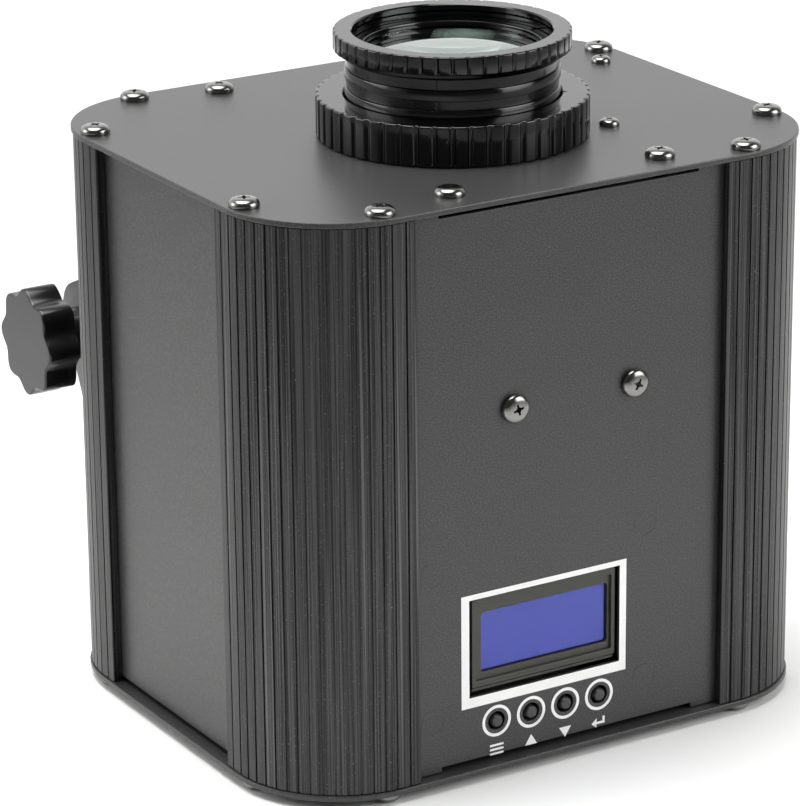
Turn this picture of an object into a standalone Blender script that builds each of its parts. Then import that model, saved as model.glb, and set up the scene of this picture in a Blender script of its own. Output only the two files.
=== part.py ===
"""LED colour changer spotlight: a boxy aluminium and steel housing that stands on its
rear plate with the lens pointing up. Everything is in metres, +Z is the way the light
goes, the display faces -Y and +X is to its right.

The housing frame has its origin at the middle of the bottom plate's lower face. One empty
carries every piece, and puts the whole light on the middle of the floor that it covers.
"""

import math

import bmesh
import bpy
from mathutils import Matrix, Vector

# Clearances and construction
SEAT = 0.0003
OVERRUN = 0.002
WELD = 0.000001
ROUND_STEPS = 32
SMALL_STEPS = 12
SCREW_STEPS = 8
QUARTER = math.pi / 2
FULL = math.pi * 2

# Housing
CASE_WIDTH = 0.170
CASE_DEPTH = 0.140
CASE_HEIGHT = 0.156
CASE_CORNER_RADIUS = 0.032
CORNER_STEPS = 8
PLATE_THICKNESS = 0.0015
PLATE_OVERHANG = 0.0005

# Corner profiles
PROFILE_STRAIGHT = 0.0056
PROFILE_WALL = 0.0025
PROFILE_LIP = 0.0015
PROFILE_SLOT_DEPTH = 0.003
GROOVE_PITCH = 0.0033
GROOVE_END_PITCH = 0.004
GROOVE_WIDTH = 0.0008
GROOVE_DEPTH = 0.0008
BOSS_WALL = 0.0014
BOSS_STEPS = 3
PROFILE_ARC_STEPS = 5

# Sheet panels
PANEL_THICKNESS = 0.0012
PANEL_RECESS = 0.0027
PANEL_FOOT_GAP = 0.0013
TAB_MARGIN = 0.0079
TAB_RELIEF = 0.0003
TAB_BEND_SHARE = 0.25
TAB_BEYOND_SCREW = 0.004

# M4 and M3 pan head screws
M4_RADIUS = 0.002
M4_HEAD_RADIUS = 0.004
M4_HEAD_HEIGHT = 0.0024
HEAD_TOP_SHARE = 0.75
M4_LENGTH = 0.008
CORNER_SCREW_OFFSET = 0.0025
CORNER_SCREW_INSET = 0.0048
TAB_SCREW_FROM_END = 0.0075
TAB_SCREW_INSET = 0.010
M3_RADIUS = 0.0015
M3_HEAD_RADIUS = 0.00275
M3_HEAD_HEIGHT = 0.0019
M3_LENGTH = 0.006

# Lens barrel, sleeve and rings
BARREL_RADIUS = 0.0282
BARREL_WALL = 0.0027
BARREL_TOP = 0.0262
BARREL_BOTTOM = 0.031
RIDGE_HEADS = (0.0186, 0.0132)
RIDGE_PROUD = 0.00035
RIDGE_HEIGHT = 0.003
LENS_COUNTERBORE = 0.001
LENS_SEAT = 0.0172
LENS_EDGE = 0.0045
LENS_CROWN = 0.0022
LENS_RINGS = 2
SHOULDER = 0.0025
SHOULDER_HEIGHT = 0.003
RETAINER_WIDTH = 0.0028
RETAINER_HEIGHT = 0.0015
SLEEVE_WALL = 0.0024
SLEEVE_FLANGE = 0.0025
SLEEVE_FLANGE_HEIGHT = 0.002
SLEEVE_NECK = 0.0068
SLEEVE_DROP = 0.024
SLEEVE_NUT_WIDTH = 0.003
SLEEVE_NUT_HEIGHT = 0.0047
COLLAR_WALL = 0.00505
COLLAR_TOP = 0.0111
COLLAR_LIP_GAP = 0.0004
FRONT_RING_WALL = 0.0033
FRONT_RING_STEP = 0.001
FRONT_RING_FOOT = 0.0233
FRONT_RING_TOP = 0.0282
FRONT_RING_SKIRT = 0.0018
FRONT_RING_SKIRT_INSET = 0.0012
RIB_COUNT = 48
RIB_DEPTH = 0.001
RIB_CREST_SHARE = 0.64
FOCUS_TRAVEL_IN = 0.010
FOCUS_TRAVEL_OUT = 0.0055
KEY_WIDTH = 0.0026
KEY_DEPTH = 0.0012
PIN_RADIUS = 0.001
PIN_HEAD_PROUD = 0.0015
PIN_BELOW_PLATE = 0.0085

# Light engine
HEAT_SINK_BASE = 0.006
FIN_COUNT = 11
FIN_THICKNESS = 0.0018
LED_BOARD_SIDE = 0.040
LED_BOARD_THICKNESS = 0.0016
EMITTER_RADIUS = 0.011
EMITTER_HEIGHT = 0.0012
REFLECTOR_HEIGHT = 0.026
REFLECTOR_HEAD_GAP = 0.0097
REFLECTOR_FOOT_GAP = 0.0015
REFLECTOR_MOUTH_RADIUS = 0.026
REFLECTOR_WALL = 0.0012
REFLECTOR_RINGS = 2
BRIDGE_THICKNESS = 0.0015
BRIDGE_WIDTH = 0.056
BRIDGE_SCREW_X = 0.0013
BRIDGE_SCREW_SPACING = 0.037
BRIDGE_SCREW_DROP = 0.0574
BRIDGE_EDGE = 0.0074

# Fan and its slots
FAN_SIDE = 0.080
FAN_CORNER_RADIUS = 0.005
FAN_DEPTH = 0.025
FAN_FRONT_GAP = 0.0057
FAN_DUCT_WALL = 0.002
FAN_SCREW_INSET = 0.00425
FAN_HUB_RADIUS = 0.015
FAN_STRUT_WIDTH = 0.004
FAN_STRUT_HEIGHT = 0.003
BLADE_COUNT = 7
BLADE_PITCH = math.radians(38)
BLADE_THICKNESS = 0.0014
BLADE_CHORD = 0.022
BLADE_TIP_GAP = 0.002
FAN_SHAFT_RADIUS = 0.0015
FAN_HUB_FLOOR_GAP = 0.0008
SLOT_PITCH = 0.0095
SLOT_WIDTH = 0.0035
SLOT_WEB = 0.006
SLOT_FIELD_MARGIN = 0.002

# Sockets in the bottom plate
SOCKET_ROOM_SHARE = 0.542
SOCKET_Y = 0.021
POWER_BODY = (0.0196, 0.0272)
POWER_RIM = (0.0022, 0.0019)
POWER_FLANGE_THICKNESS = 0.0018
POWER_WALL = (0.0016, 0.0014)
POWER_BODY_DEPTH = 0.019
POWER_FLOOR = 0.0035
POWER_MOAT = 0.0028
CONTACT_PITCH = 0.007
CONTACT_OFFSET = 0.002
BLADE_CONTACT = (0.004, 0.002)
SLOT_CONTACT = (0.0048, 0.0028)
CONTACT_RECESS = 0.0048
DATA_RIM = (0.0014, 0.0039)
DATA_FLANGE_THICKNESS = 0.002
DATA_NOSE_RADIUS = 0.0116
DATA_NOSE_RECESS = 0.0002
DATA_WALL = 0.0024
DATA_BODY_DEPTH = 0.0185
DATA_FLOOR = 0.0039
DATA_MOAT = 0.0018
DATA_PIN_RADIUS = 0.0012
DATA_HOLE_RADIUS = 0.0016
DATA_HOLE_DEPTH = 0.009
DATA_PIN_CIRCLE = 0.0045
DATA_PIN_COUNT = 3
LATCH_SIZE = (0.0062, 0.0032)
LATCH_LENGTH = 0.006
LATCH_GAP = 0.0012
LATCH_TRAVEL = 0.0012
LATCH_STOP = 0.0004

# Circuit boards
BOARD_THICKNESS = 0.0016
SPACER_LENGTH = 0.008
SPACER_RADIUS = 0.0025
SPACER_STEPS = 6
SPACER_INSET = 0.004
BOARD_SIDE_GAP = 0.0014
POWER_BOARD_FOOT = 0.036
POWER_BOARD_HEAD_GAP = 0.0185
TRANSFORMER_COIL_SHARES = (0.355, 0.3)
TRANSFORMER_CORE_SHARES = (0.55, 0.14)
TRANSFORMER_PLACE_SHARES = (0.1, 0.18)
TRANSFORMER_GAP = 0.0067
COIL_GAP = 0.0107
CAPACITOR_RADIUS_SHARE = 0.13
CAPACITOR_GAP = 0.0087
CAPACITOR_PLACE_SHARES = ((-0.225, -0.26), (0.195, -0.26))
CONTROL_BOARD_FOOT = 0.056
CONTROL_BOARD_HEAD_GAP = 0.0105
BRACKET_THICKNESS = 0.0015
BRACKET_NUT_GAP = 0.00045
BRACKET_SIDE_GAP = 0.0041
BRACKET_FRONT_INSET = 0.0002
BRACKET_REAR_REACH = 0.001
BRACKET_SCREW_INNER = 0.0031
BRACKET_SCREW_OUTER = 0.0034
BRACKET_SCREW_END = 0.0047
DISPLAY_BOARD_MARGIN = 0.01055
DISPLAY_BOARD_BELOW_BUTTONS = 0.0065
DISPLAY_BOARD_HEAD_SHARE = 0.271

# Display and buttons
WINDOW_CENTRE = (-0.0075, 0.0344)
WINDOW_SIZE = (0.0469, 0.0273)
BEZEL_RECESS = 0.0008
BEZEL_GAP = (0.0011, 0.00135)
BEZEL_SHIFT = (0.0002, 0.0008)
BEZEL_RIM = (0.00115, 0.0017)
BEZEL_STEP_DEPTH = 0.0008
BEZEL_LEDGE = (0.00145, 0.0022)
SCREEN_SHIFT = (0.00065, -0.0003)
SCREEN_RECESS = 0.0025
SCREEN_THICKNESS = 0.001
BUTTON_NAMES = ("mode_button", "up_button", "down_button", "enter_button")
BUTTON_ROW_OFFSET = 0.001025
BUTTON_PITCH = 0.01075
BUTTON_Z = 0.0125
BUTTON_RADIUS = 0.00175
BUTTON_HOLE_RADIUS = 0.0026
BUTTON_PROUD = 0.0006
BUTTON_TRAVEL = 0.0005
SWITCH_SIDE = 0.006
SWITCH_HEIGHT = 0.0038
SWITCH_WELL = 0.003

# Rear vents
VENT_PITCH = 0.007
VENT_WIDTH = 0.003
VENT_HEIGHT = 0.030
VENT_SIDE_MARGIN = 0.0124
VENT_DROP = 0.027

# Hinge bracket, yoke and knobs
PIVOT_REACH = 0.040
PIVOT_DROP = 0.080
STRIP_THICKNESS = 0.003
STRIP_WIDTH = 0.030
STRIP_END = 0.015
EAR_SIDE_GAP = 0.0028
YOKE_LENGTH = 0.060
YOKE_BEND = 0.006
YOKE_TILT = math.radians(24.5)
CLAMP_HOLE_RADIUS = 0.00525
SIDE_HOLE_RADIUS = 0.00325
SIDE_HOLE_INSET = 0.0214
WASHER_THICKNESS = 0.0012
WASHER_RADIUS = 0.010
EAR_RADIUS = 0.014
EAR_STEPS = 8
BRACKET_BEND = 0.005
BRACKET_HEIGHT = 0.058
BRACKET_SKIRT = 0.004
STUD_RADIUS = 0.003
STUD_BEYOND_NUT = 0.001
NUT_THICKNESS = 0.005
NUT_RADIUS = 0.0058
KNOB_RADIUS = 0.016
KNOB_LOBES = 8
KNOB_LOBE_DEPTH = 0.0011
KNOB_POINTS_PER_LOBE = 6
KNOB_GRIP = 0.0102
KNOB_CHAMFER = 0.0007
KNOB_BOSS = 0.0103
KNOB_BOSS_RADIUS = 0.0075

# Places that follow from the sizes above
TOP = CASE_HEIGHT
UNDER_TOP = CASE_HEIGHT - PLATE_THICKNESS
PROFILE_HALF = (CASE_WIDTH / 2 - PLATE_OVERHANG, CASE_DEPTH / 2 - PLATE_OVERHANG)
PROFILE_RADIUS = CASE_CORNER_RADIUS - PLATE_OVERHANG
PROFILE_ARM = PROFILE_RADIUS + PROFILE_STRAIGHT
PROFILE_FOOT = PLATE_THICKNESS + SEAT
PROFILE_HEAD = UNDER_TOP - SEAT
OPEN_HALF = (PROFILE_HALF[0] - PROFILE_ARM, PROFILE_HALF[1] - PROFILE_ARM)
SCREW_HOLE = M4_RADIUS + SEAT
CORNER_SCREW_ALONG = CASE_CORNER_RADIUS - CORNER_SCREW_OFFSET
TAB_WIDTH = (OPEN_HALF[0] - TAB_MARGIN) * 2
TAB_SCREW_X = TAB_WIDTH / 2 - TAB_SCREW_FROM_END
PANEL_FACE_X = PROFILE_HALF[0] - PANEL_RECESS
PANEL_FACE_Y = PROFILE_HALF[1] - PANEL_RECESS
PANEL_BACK_X = PANEL_FACE_X - PANEL_THICKNESS
PANEL_BACK_Y = PANEL_FACE_Y - PANEL_THICKNESS
STAND = M4_HEAD_HEIGHT
BOARD_FACE = SPACER_LENGTH + SEAT
DISPLAY_BOARD_Y = -PANEL_BACK_Y + BOARD_FACE
LENS_Y = DISPLAY_BOARD_Y + BOARD_THICKNESS + FAN_FRONT_GAP + FAN_SIDE / 2
BARREL_BORE = BARREL_RADIUS - BARREL_WALL
LENS_RADIUS = BARREL_BORE + LENS_COUNTERBORE - SEAT
SLEEVE_BORE = BARREL_RADIUS + RIDGE_PROUD + SEAT
SLEEVE_RADIUS = SLEEVE_BORE + SLEEVE_WALL
SLEEVE_NUT_RADIUS = SLEEVE_RADIUS + SEAT + SLEEVE_NUT_WIDTH
COLLAR_RADIUS = SLEEVE_RADIUS + COLLAR_WALL
COLLAR_LIP_BORE = BARREL_RADIUS + RIDGE_PROUD + COLLAR_LIP_GAP
FRONT_RING_RADIUS = BARREL_RADIUS + FRONT_RING_WALL
FRONT_RING_BORE = BARREL_BORE + FRONT_RING_STEP
FRONT_RING_SKIRT_RADIUS = FRONT_RING_RADIUS - FRONT_RING_SKIRT_INSET
FAN_FOOT = PLATE_THICKNESS + SEAT
FAN_HEAD = FAN_FOOT + FAN_DEPTH
FAN_DUCT_RADIUS = FAN_SIDE / 2 - FAN_DUCT_WALL
FAN_SCREW_SPACING = FAN_SIDE - FAN_SCREW_INSET * 2
SLOT_FIELD_RADIUS = FAN_DUCT_RADIUS - SLOT_FIELD_MARGIN
REFLECTOR_HEAD = TOP - BARREL_BOTTOM - FOCUS_TRAVEL_IN - REFLECTOR_HEAD_GAP
REFLECTOR_FOOT = REFLECTOR_HEAD - REFLECTOR_HEIGHT
REFLECTOR_FOOT_RADIUS = EMITTER_RADIUS + REFLECTOR_FOOT_GAP
LED_HEAD = REFLECTOR_FOOT - SEAT
LED_FOOT = LED_HEAD - LED_BOARD_THICKNESS
HEAT_SINK_HEAD = LED_FOOT - SEAT
HEAT_SINK_SIDE = FAN_SIDE
BRIDGE_SCREW_Z = TOP - BRIDGE_SCREW_DROP
SOCKET_ROOM = PANEL_BACK_X - FAN_SIDE / 2
SOCKET_X = FAN_SIDE / 2 + SOCKET_ROOM * SOCKET_ROOM_SHARE
POWER_MOUTH = -SEAT - POWER_FLANGE_THICKNESS
POWER_FLANGE = [side + rim * 2 for side, rim in zip(POWER_BODY, POWER_RIM)]
POWER_CAVITY = [side - wall * 2 for side, wall in zip(POWER_BODY, POWER_WALL)]
POWER_CAVITY_DEPTH = POWER_BODY_DEPTH - POWER_FLOOR
POWER_BLOCK = [side - POWER_MOAT * 2 for side in POWER_CAVITY]
DATA_MOUTH = DATA_NOSE_RECESS
DATA_FLANGE = [(DATA_NOSE_RADIUS + rim) * 2 for rim in DATA_RIM]
DATA_CAVITY_RADIUS = DATA_NOSE_RADIUS - DATA_WALL
DATA_CAVITY_DEPTH = DATA_BODY_DEPTH - DATA_FLOOR
DATA_CORE_RADIUS = DATA_CAVITY_RADIUS - DATA_MOAT
LATCH_PROUD = LATCH_TRAVEL + LATCH_STOP
SIDE_BOARD_WIDTH = (OPEN_HALF[1] - BOARD_SIDE_GAP) * 2
POWER_BOARD = (SIDE_BOARD_WIDTH, UNDER_TOP - POWER_BOARD_HEAD_GAP - POWER_BOARD_FOOT)
CONTROL_BOARD = (SIDE_BOARD_WIDTH, UNDER_TOP - CONTROL_BOARD_HEAD_GAP - CONTROL_BOARD_FOOT)
BOARD_ROOM = SOCKET_ROOM - BOARD_FACE - BOARD_THICKNESS
TRANSFORMER_DEPTH = BOARD_ROOM - TRANSFORMER_GAP
COIL_DEPTH = BOARD_ROOM - COIL_GAP
CAPACITOR_LENGTH = BOARD_ROOM - CAPACITOR_GAP
CAPACITOR_RADIUS = SIDE_BOARD_WIDTH * CAPACITOR_RADIUS_SHARE
BRACKET_INNER_X = SLEEVE_NUT_RADIUS + BRACKET_NUT_GAP
BRACKET_OUTER_X = PANEL_BACK_X - BRACKET_SIDE_GAP
BRACKET_Y = (BRACKET_FRONT_INSET - OPEN_HALF[1], OPEN_HALF[1] + BRACKET_REAR_REACH)
SMALL_SCREW_PLACES = (
    (BRACKET_INNER_X + BRACKET_SCREW_INNER, BRACKET_Y[0] + BRACKET_SCREW_END),
    (BRACKET_OUTER_X - BRACKET_SCREW_OUTER, BRACKET_Y[1] - BRACKET_SCREW_END),
)
BEZEL_SIZE = [side - gap * 2 for side, gap in zip(WINDOW_SIZE, BEZEL_GAP)]
BEZEL_STEP = [side - rim * 2 for side, rim in zip(BEZEL_SIZE, BEZEL_RIM)]
SCREEN_SIZE = [side - ledge * 2 for side, ledge in zip(BEZEL_STEP, BEZEL_LEDGE)]
BUTTON_FIRST_X = WINDOW_CENTRE[0] + BUTTON_ROW_OFFSET - BUTTON_PITCH * (len(BUTTON_NAMES) - 1) / 2
DISPLAY_BOARD_FOOT = BUTTON_Z - DISPLAY_BOARD_BELOW_BUTTONS
WINDOW_HEAD = WINDOW_CENTRE[1] + WINDOW_SIZE[1] / 2
ROOM_OVER_WINDOW = HEAT_SINK_HEAD + SEAT - WINDOW_HEAD
DISPLAY_BOARD_HEAD = WINDOW_HEAD + ROOM_OVER_WINDOW * DISPLAY_BOARD_HEAD_SHARE
DISPLAY_BOARD = (WINDOW_SIZE[0] + DISPLAY_BOARD_MARGIN * 2, DISPLAY_BOARD_HEAD - DISPLAY_BOARD_FOOT)
DISPLAY_BOARD_CENTRE = (WINDOW_CENTRE[0], (DISPLAY_BOARD_HEAD + DISPLAY_BOARD_FOOT) / 2)
EAR_OUTER = OPEN_HALF[0] - EAR_SIDE_GAP
EAR_INNER = EAR_OUTER - STRIP_THICKNESS
STRIP_INNER = EAR_OUTER + SEAT * 2 + WASHER_THICKNESS
YOKE_HALF_WIDTH = STRIP_INNER + STRIP_THICKNESS
SIDE_HOLE_X = YOKE_HALF_WIDTH - SIDE_HOLE_INSET
PIVOT_Y = CASE_DEPTH / 2 + PIVOT_REACH
PIVOT_Z = TOP - PIVOT_DROP
PIVOT_HOLE = STUD_RADIUS + SEAT
REAR_REACH = PIVOT_Y + STRIP_WIDTH / 2 * math.cos(YOKE_TILT) + STRIP_END * math.sin(YOKE_TILT)
FRAME_Y = (CASE_DEPTH / 2 - REAR_REACH) / 2

PARTS_NAME = "colour_changer_spotlight"
FACE_BACK = (QUARTER, 0, 0)
FACE_SIDE = (QUARTER, 0, QUARTER)


def clear_scene():
    """Starts from an empty scene, and makes the collections."""
    for item in list(bpy.data.objects):
        bpy.data.objects.remove(item)
    for name in (PARTS_NAME, "cutters"):
        collection = bpy.data.collections.new(name)
        bpy.context.scene.collection.children.link(collection)


def make_frame():
    """The empty that every piece hangs from, at the middle of the bottom plate."""
    frame = bpy.data.objects.new("housing_frame", None)
    frame.location = (0, FRAME_Y, STAND)
    bpy.data.collections[PARTS_NAME].objects.link(frame)
    return frame


def paint(name, colour, roughness, metallic=0.0):
    """One Principled material, with its colour given in linear values."""
    made = bpy.data.materials.get(name)
    if made is None:
        made = bpy.data.materials.new(name)
        made.use_nodes = True
        shader = made.node_tree.nodes["Principled BSDF"]
        shader.inputs["Base Color"].default_value = (*colour, 1)
        shader.inputs["Roughness"].default_value = roughness
        shader.inputs["Metallic"].default_value = metallic
    return made


def powder_coat():
    return paint("black_powder_coat", (0.035, 0.035, 0.036), 0.6)


def black_aluminium():
    return paint("black_anodised_aluminium", (0.03, 0.03, 0.032), 0.4, 0.6)


def moulded_black():
    return paint("black_moulded_plastic", (0.012, 0.012, 0.013), 0.25)


def socket_black():
    return paint("black_socket_plastic", (0.02, 0.02, 0.02), 0.5)


def bright_zinc():
    return paint("bright_zinc_steel", (0.62, 0.62, 0.6), 0.3, 1.0)


def plain_aluminium():
    return paint("plain_aluminium", (0.7, 0.7, 0.71), 0.35, 1.0)


def lens_glass():
    return paint("lens_glass", (0.75, 0.82, 0.78), 0.05)


def board_green():
    return paint("circuit_board", (0.02, 0.12, 0.05), 0.5)


def add(name, data, material=None, at=(0, 0, 0), turn=(0, 0, 0), collection=PARTS_NAME):
    """Puts data in the scene as an object that hangs from the frame."""
    item = bpy.data.objects.new(name, data)
    bpy.data.collections[collection].objects.link(item)
    item.parent = bpy.data.objects["housing_frame"]
    item.location = at
    item.rotation_euler = turn
    if material is not None and not data.materials:
        data.materials.append(material)
    return item


def mesh_of(item):
    """The evaluated mesh of an object as a new mesh, welded, with the object removed."""
    bpy.context.view_layer.update()
    graph = bpy.context.evaluated_depsgraph_get()
    mesh = bpy.data.meshes.new_from_object(item.evaluated_get(graph))
    bm = bmesh.new()
    bm.from_mesh(mesh)
    bmesh.ops.remove_doubles(bm, verts=bm.verts, dist=WELD)
    bmesh.ops.recalc_face_normals(bm, faces=bm.faces)
    bm.to_mesh(mesh)
    bm.free()
    bpy.data.objects.remove(item)
    return mesh


def flat_mesh(loops, thickness):
    """A flat outline with its holes, in local X and Y, centred on its thickness."""
    curve = bpy.data.curves.new("outline", "CURVE")
    curve.dimensions = "2D"
    curve.fill_mode = "BOTH"
    curve.extrude = thickness / 2
    for loop in loops:
        spline = curve.splines.new("POLY")
        spline.points.add(len(loop) - 1)
        for point, (x, y) in zip(spline.points, loop):
            point.co = (x, y, 0, 1)
        spline.use_cyclic_u = True
    return mesh_of(add("outline", curve))


def turned_mesh(profile, steps, closed=True):
    """A profile of (radius, height) points turned about Z, outer side listed downwards."""
    mesh = bpy.data.meshes.new("profile")
    count = len(profile)
    edges = [(i, (i + 1) % count) for i in range(count if closed else count - 1)]
    mesh.from_pydata([(r, 0, z) for r, z in profile], edges, [])
    item = add("profile", mesh)
    turn = item.modifiers.new("turn", "SCREW")
    turn.steps = steps
    turn.render_steps = steps
    turn.use_merge_vertices = True
    turn.merge_threshold = WELD
    return mesh_of(item)


def box_mesh(size):
    """A box of the given size about its own centre."""
    mesh = bpy.data.meshes.new("box")
    bm = bmesh.new()
    bmesh.ops.create_cube(bm, size=1)
    bmesh.ops.scale(bm, vec=size, verts=bm.verts)
    bm.to_mesh(mesh)
    bm.free()
    return mesh


def rod_mesh(radius, length, steps):
    """A rod about its own centre, along Z."""
    mesh = bpy.data.meshes.new("rod")
    bm = bmesh.new()
    bmesh.ops.create_cone(
        bm, cap_ends=True, segments=steps, radius1=radius, radius2=radius, depth=length
    )
    bm.to_mesh(mesh)
    bm.free()
    return mesh


def place(at, turn=(0, 0, 0)):
    """A matrix that turns and then moves a mesh."""
    x, y, z = turn
    spin = Matrix.Rotation(z, 4, "Z") @ Matrix.Rotation(y, 4, "Y") @ Matrix.Rotation(x, 4, "X")
    return Matrix.Translation(Vector(at)) @ spin


def joined(pieces):
    """One mesh that holds a placed copy of each (mesh, matrix) pair."""
    bm = bmesh.new()
    for mesh, matrix in pieces:
        copy = mesh.copy()
        copy.transform(matrix)
        bm.from_mesh(copy)
        bpy.data.meshes.remove(copy)
    result = bpy.data.meshes.new("joined")
    bm.to_mesh(result)
    bm.free()
    return result


def boolean(item, pieces, operation="DIFFERENCE"):
    """Cuts, adds or keeps the placed meshes, which don't touch each other."""
    cutter = add(item.name + "_" + operation.lower(), joined(pieces), collection="cutters")
    cutter.hide_render = True
    cutter.display_type = "WIRE"
    cutter.location = item.location
    cutter.rotation_euler = item.rotation_euler
    step = item.modifiers.new(operation.lower(), "BOOLEAN")
    step.object = cutter
    step.operation = operation
    return item


def smooth(item):
    """Smooth shading with the real edges left sharp."""
    item.data.shade_smooth()
    item.data.set_sharp_from_angle(angle=math.radians(35))
    return item


def circle(radius, steps, centre=(0, 0), start=0.0):
    """Points around a circle."""
    turns = [start + FULL * i / steps for i in range(steps)]
    return [(centre[0] + radius * math.cos(a), centre[1] + radius * math.sin(a)) for a in turns]


def screw_hole(centre, radius=SCREW_HOLE):
    return circle(radius, SCREW_STEPS, centre)


def rectangle(width, height, centre=(0, 0)):
    """Corner points of a rectangle."""
    x, y = width / 2, height / 2
    corners = ((-x, -y), (x, -y), (x, y), (-x, y))
    return [(centre[0] + a, centre[1] + b) for a, b in corners]


def rounded_rectangle(width, height, radius, steps, centre=(0, 0)):
    """A rectangle with round corners."""
    points = []
    middle = ((1, 1), (-1, 1), (-1, -1), (1, -1))
    for corner, (sx, sy) in enumerate(middle):
        cx = centre[0] + sx * (width / 2 - radius)
        cy = centre[1] + sy * (height / 2 - radius)
        for i in range(steps + 1):
            a = QUARTER * (corner + i / steps)
            points.append((cx + radius * math.cos(a), cy + radius * math.sin(a)))
    return points


def pan_head_mesh(radius, head_radius, head_height, length, seat):
    """A pan head screw along Z: its head stands above zero and its shank hangs below."""
    profile = [
        (0, head_height),
        (head_radius * HEAD_TOP_SHARE, head_height),
        (head_radius, seat),
        (radius, seat),
        (radius, -length),
        (0, -length),
    ]
    return turned_mesh(profile, SCREW_STEPS, closed=False)


def m4_screw(seat=SEAT):
    """Its head keeps a seat's gap, or is sunk where it is one piece with what it holds."""
    return pan_head_mesh(M4_RADIUS, M4_HEAD_RADIUS, M4_HEAD_HEIGHT, M4_LENGTH, seat)


def m3_screw():
    return pan_head_mesh(M3_RADIUS, M3_HEAD_RADIUS, M3_HEAD_HEIGHT, M3_LENGTH, SEAT)


def plate_screw_places():
    """Where the end plates are screwed to the profiles and to the panels' tabs."""
    x, y = CASE_WIDTH / 2, CASE_DEPTH / 2
    corner = [
        (x - CORNER_SCREW_INSET, y - CORNER_SCREW_ALONG),
        (x - CORNER_SCREW_ALONG, y - CORNER_SCREW_INSET),
        (TAB_SCREW_X, y - TAB_SCREW_INSET),
    ]
    signs = ((1, 1), (-1, 1), (-1, -1), (1, -1))
    return [(a * sx, b * sy) for sx, sy in signs for a, b in corner]


def plate_outline():
    return rounded_rectangle(CASE_WIDTH, CASE_DEPTH, CASE_CORNER_RADIUS, CORNER_STEPS)


def top_plate():
    hole = SLEEVE_RADIUS + SEAT
    loops = [plate_outline(), circle(hole, ROUND_STEPS, (0, LENS_Y))]
    loops += [screw_hole(p) for p in plate_screw_places()]
    loops += [screw_hole(p, M3_RADIUS + SEAT) for p in SMALL_SCREW_PLACES]
    mesh = flat_mesh(loops, PLATE_THICKNESS)
    add("top_plate", mesh, powder_coat(), at=(0, 0, TOP - PLATE_THICKNESS / 2))


def fan_slots():
    """Straight slots that fill a circle below the fan, each split by a web, as cutters."""
    slots = []
    rows = int((SLOT_FIELD_RADIUS - SLOT_WEB) / SLOT_PITCH)
    for row in range(-rows, rows + 1):
        y = SLOT_PITCH * row
        half = math.sqrt(SLOT_FIELD_RADIUS**2 - y**2)
        length = half - SLOT_WEB / 2
        slot = box_mesh((length, SLOT_WIDTH, PLATE_THICKNESS + OVERRUN))
        for side in (-1, 1):
            x = side * (SLOT_WEB / 2 + length / 2)
            slots.append((slot, place((x, LENS_Y + y, 0))))
    return slots


def fan_screw_places():
    half = FAN_SCREW_SPACING / 2
    return [(sx * half, LENS_Y + sy * half) for sx in (-1, 1) for sy in (-1, 1)]


def latch_place():
    """Middle of the latch, in the plate's plane."""
    reach = DATA_NOSE_RADIUS + SEAT + LATCH_GAP + LATCH_SIZE[1] / 2
    return (SOCKET_X, -SOCKET_Y - reach)


def bottom_plate():
    """The rear plate with its screws in place: their heads are what the light stands on."""
    loops = [plate_outline()] + [screw_hole(p) for p in fan_screw_places()]
    for y in (-SOCKET_Y, SOCKET_Y):
        power = [side + SEAT * 2 for side in POWER_BODY]
        loops.append(rectangle(*power, (-SOCKET_X, y)))
        loops.append(circle(DATA_NOSE_RADIUS + SEAT, SMALL_STEPS, (SOCKET_X, y)))
    latch = [side + SEAT * 2 for side in LATCH_SIZE]
    loops.append(rectangle(*latch, latch_place()))
    mesh = flat_mesh(loops, PLATE_THICKNESS)
    half = PLATE_THICKNESS / 2
    plate = add("bottom_plate", mesh, powder_coat(), at=(0, 0, half))
    boolean(plate, fan_slots())
    screw = m4_screw(-half)
    over = (math.pi, 0, 0)
    pieces = [(screw, place((x, y, -half), over)) for x, y in plate_screw_places()]
    boolean(plate, pieces, "UNION")


def profile_surface(along, depth):
    """A point below the profile's outer surface, measured from the end of its first arm."""
    straight = PROFILE_ARM - PROFILE_RADIUS
    arc = PROFILE_RADIUS * QUARTER
    if along < straight:
        return (PROFILE_ARM - along, depth)
    if along > straight + arc:
        return (depth, PROFILE_RADIUS + along - straight - arc)
    turn = (along - straight) / PROFILE_RADIUS
    reach = PROFILE_RADIUS - depth
    return (PROFILE_RADIUS - reach * math.sin(turn), PROFILE_RADIUS - reach * math.cos(turn))


def profile_length():
    return 2 * (PROFILE_ARM - PROFILE_RADIUS) + PROFILE_RADIUS * QUARTER


def groove_starts():
    """Middle of each groove along the outer surface: even ones, and one more near each end."""
    middle = profile_length() / 2
    count = int(profile_length() / GROOVE_PITCH) - 3
    reach = GROOVE_PITCH * (count - 1) / 2
    even = [middle - reach + GROOVE_PITCH * i for i in range(count)]
    return [middle - reach - GROOVE_END_PITCH] + even + [middle + reach + GROOVE_END_PITCH]


def boss_centre():
    """The screw boss in the first arm, as (along, depth) from the profile's corner."""
    return (CORNER_SCREW_ALONG - PLATE_OVERHANG, CORNER_SCREW_INSET - PLATE_OVERHANG)


def circles_meet(centre_a, radius_a, centre_b, radius_b):
    """The point where two circles cross, on the side nearest the diagonal."""
    ax, ay = centre_a
    dx, dy = centre_b[0] - ax, centre_b[1] - ay
    gap = math.hypot(dx, dy)
    reach = (gap**2 + radius_a**2 - radius_b**2) / (2 * gap)
    rise = math.sqrt(radius_a**2 - reach**2)
    mx, my = ax + dx * reach / gap, ay + dy * reach / gap
    sides = [(mx - s * dy * rise / gap, my + s * dx * rise / gap) for s in (-1, 1)]
    return min(sides, key=lambda p: p[0])


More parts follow.
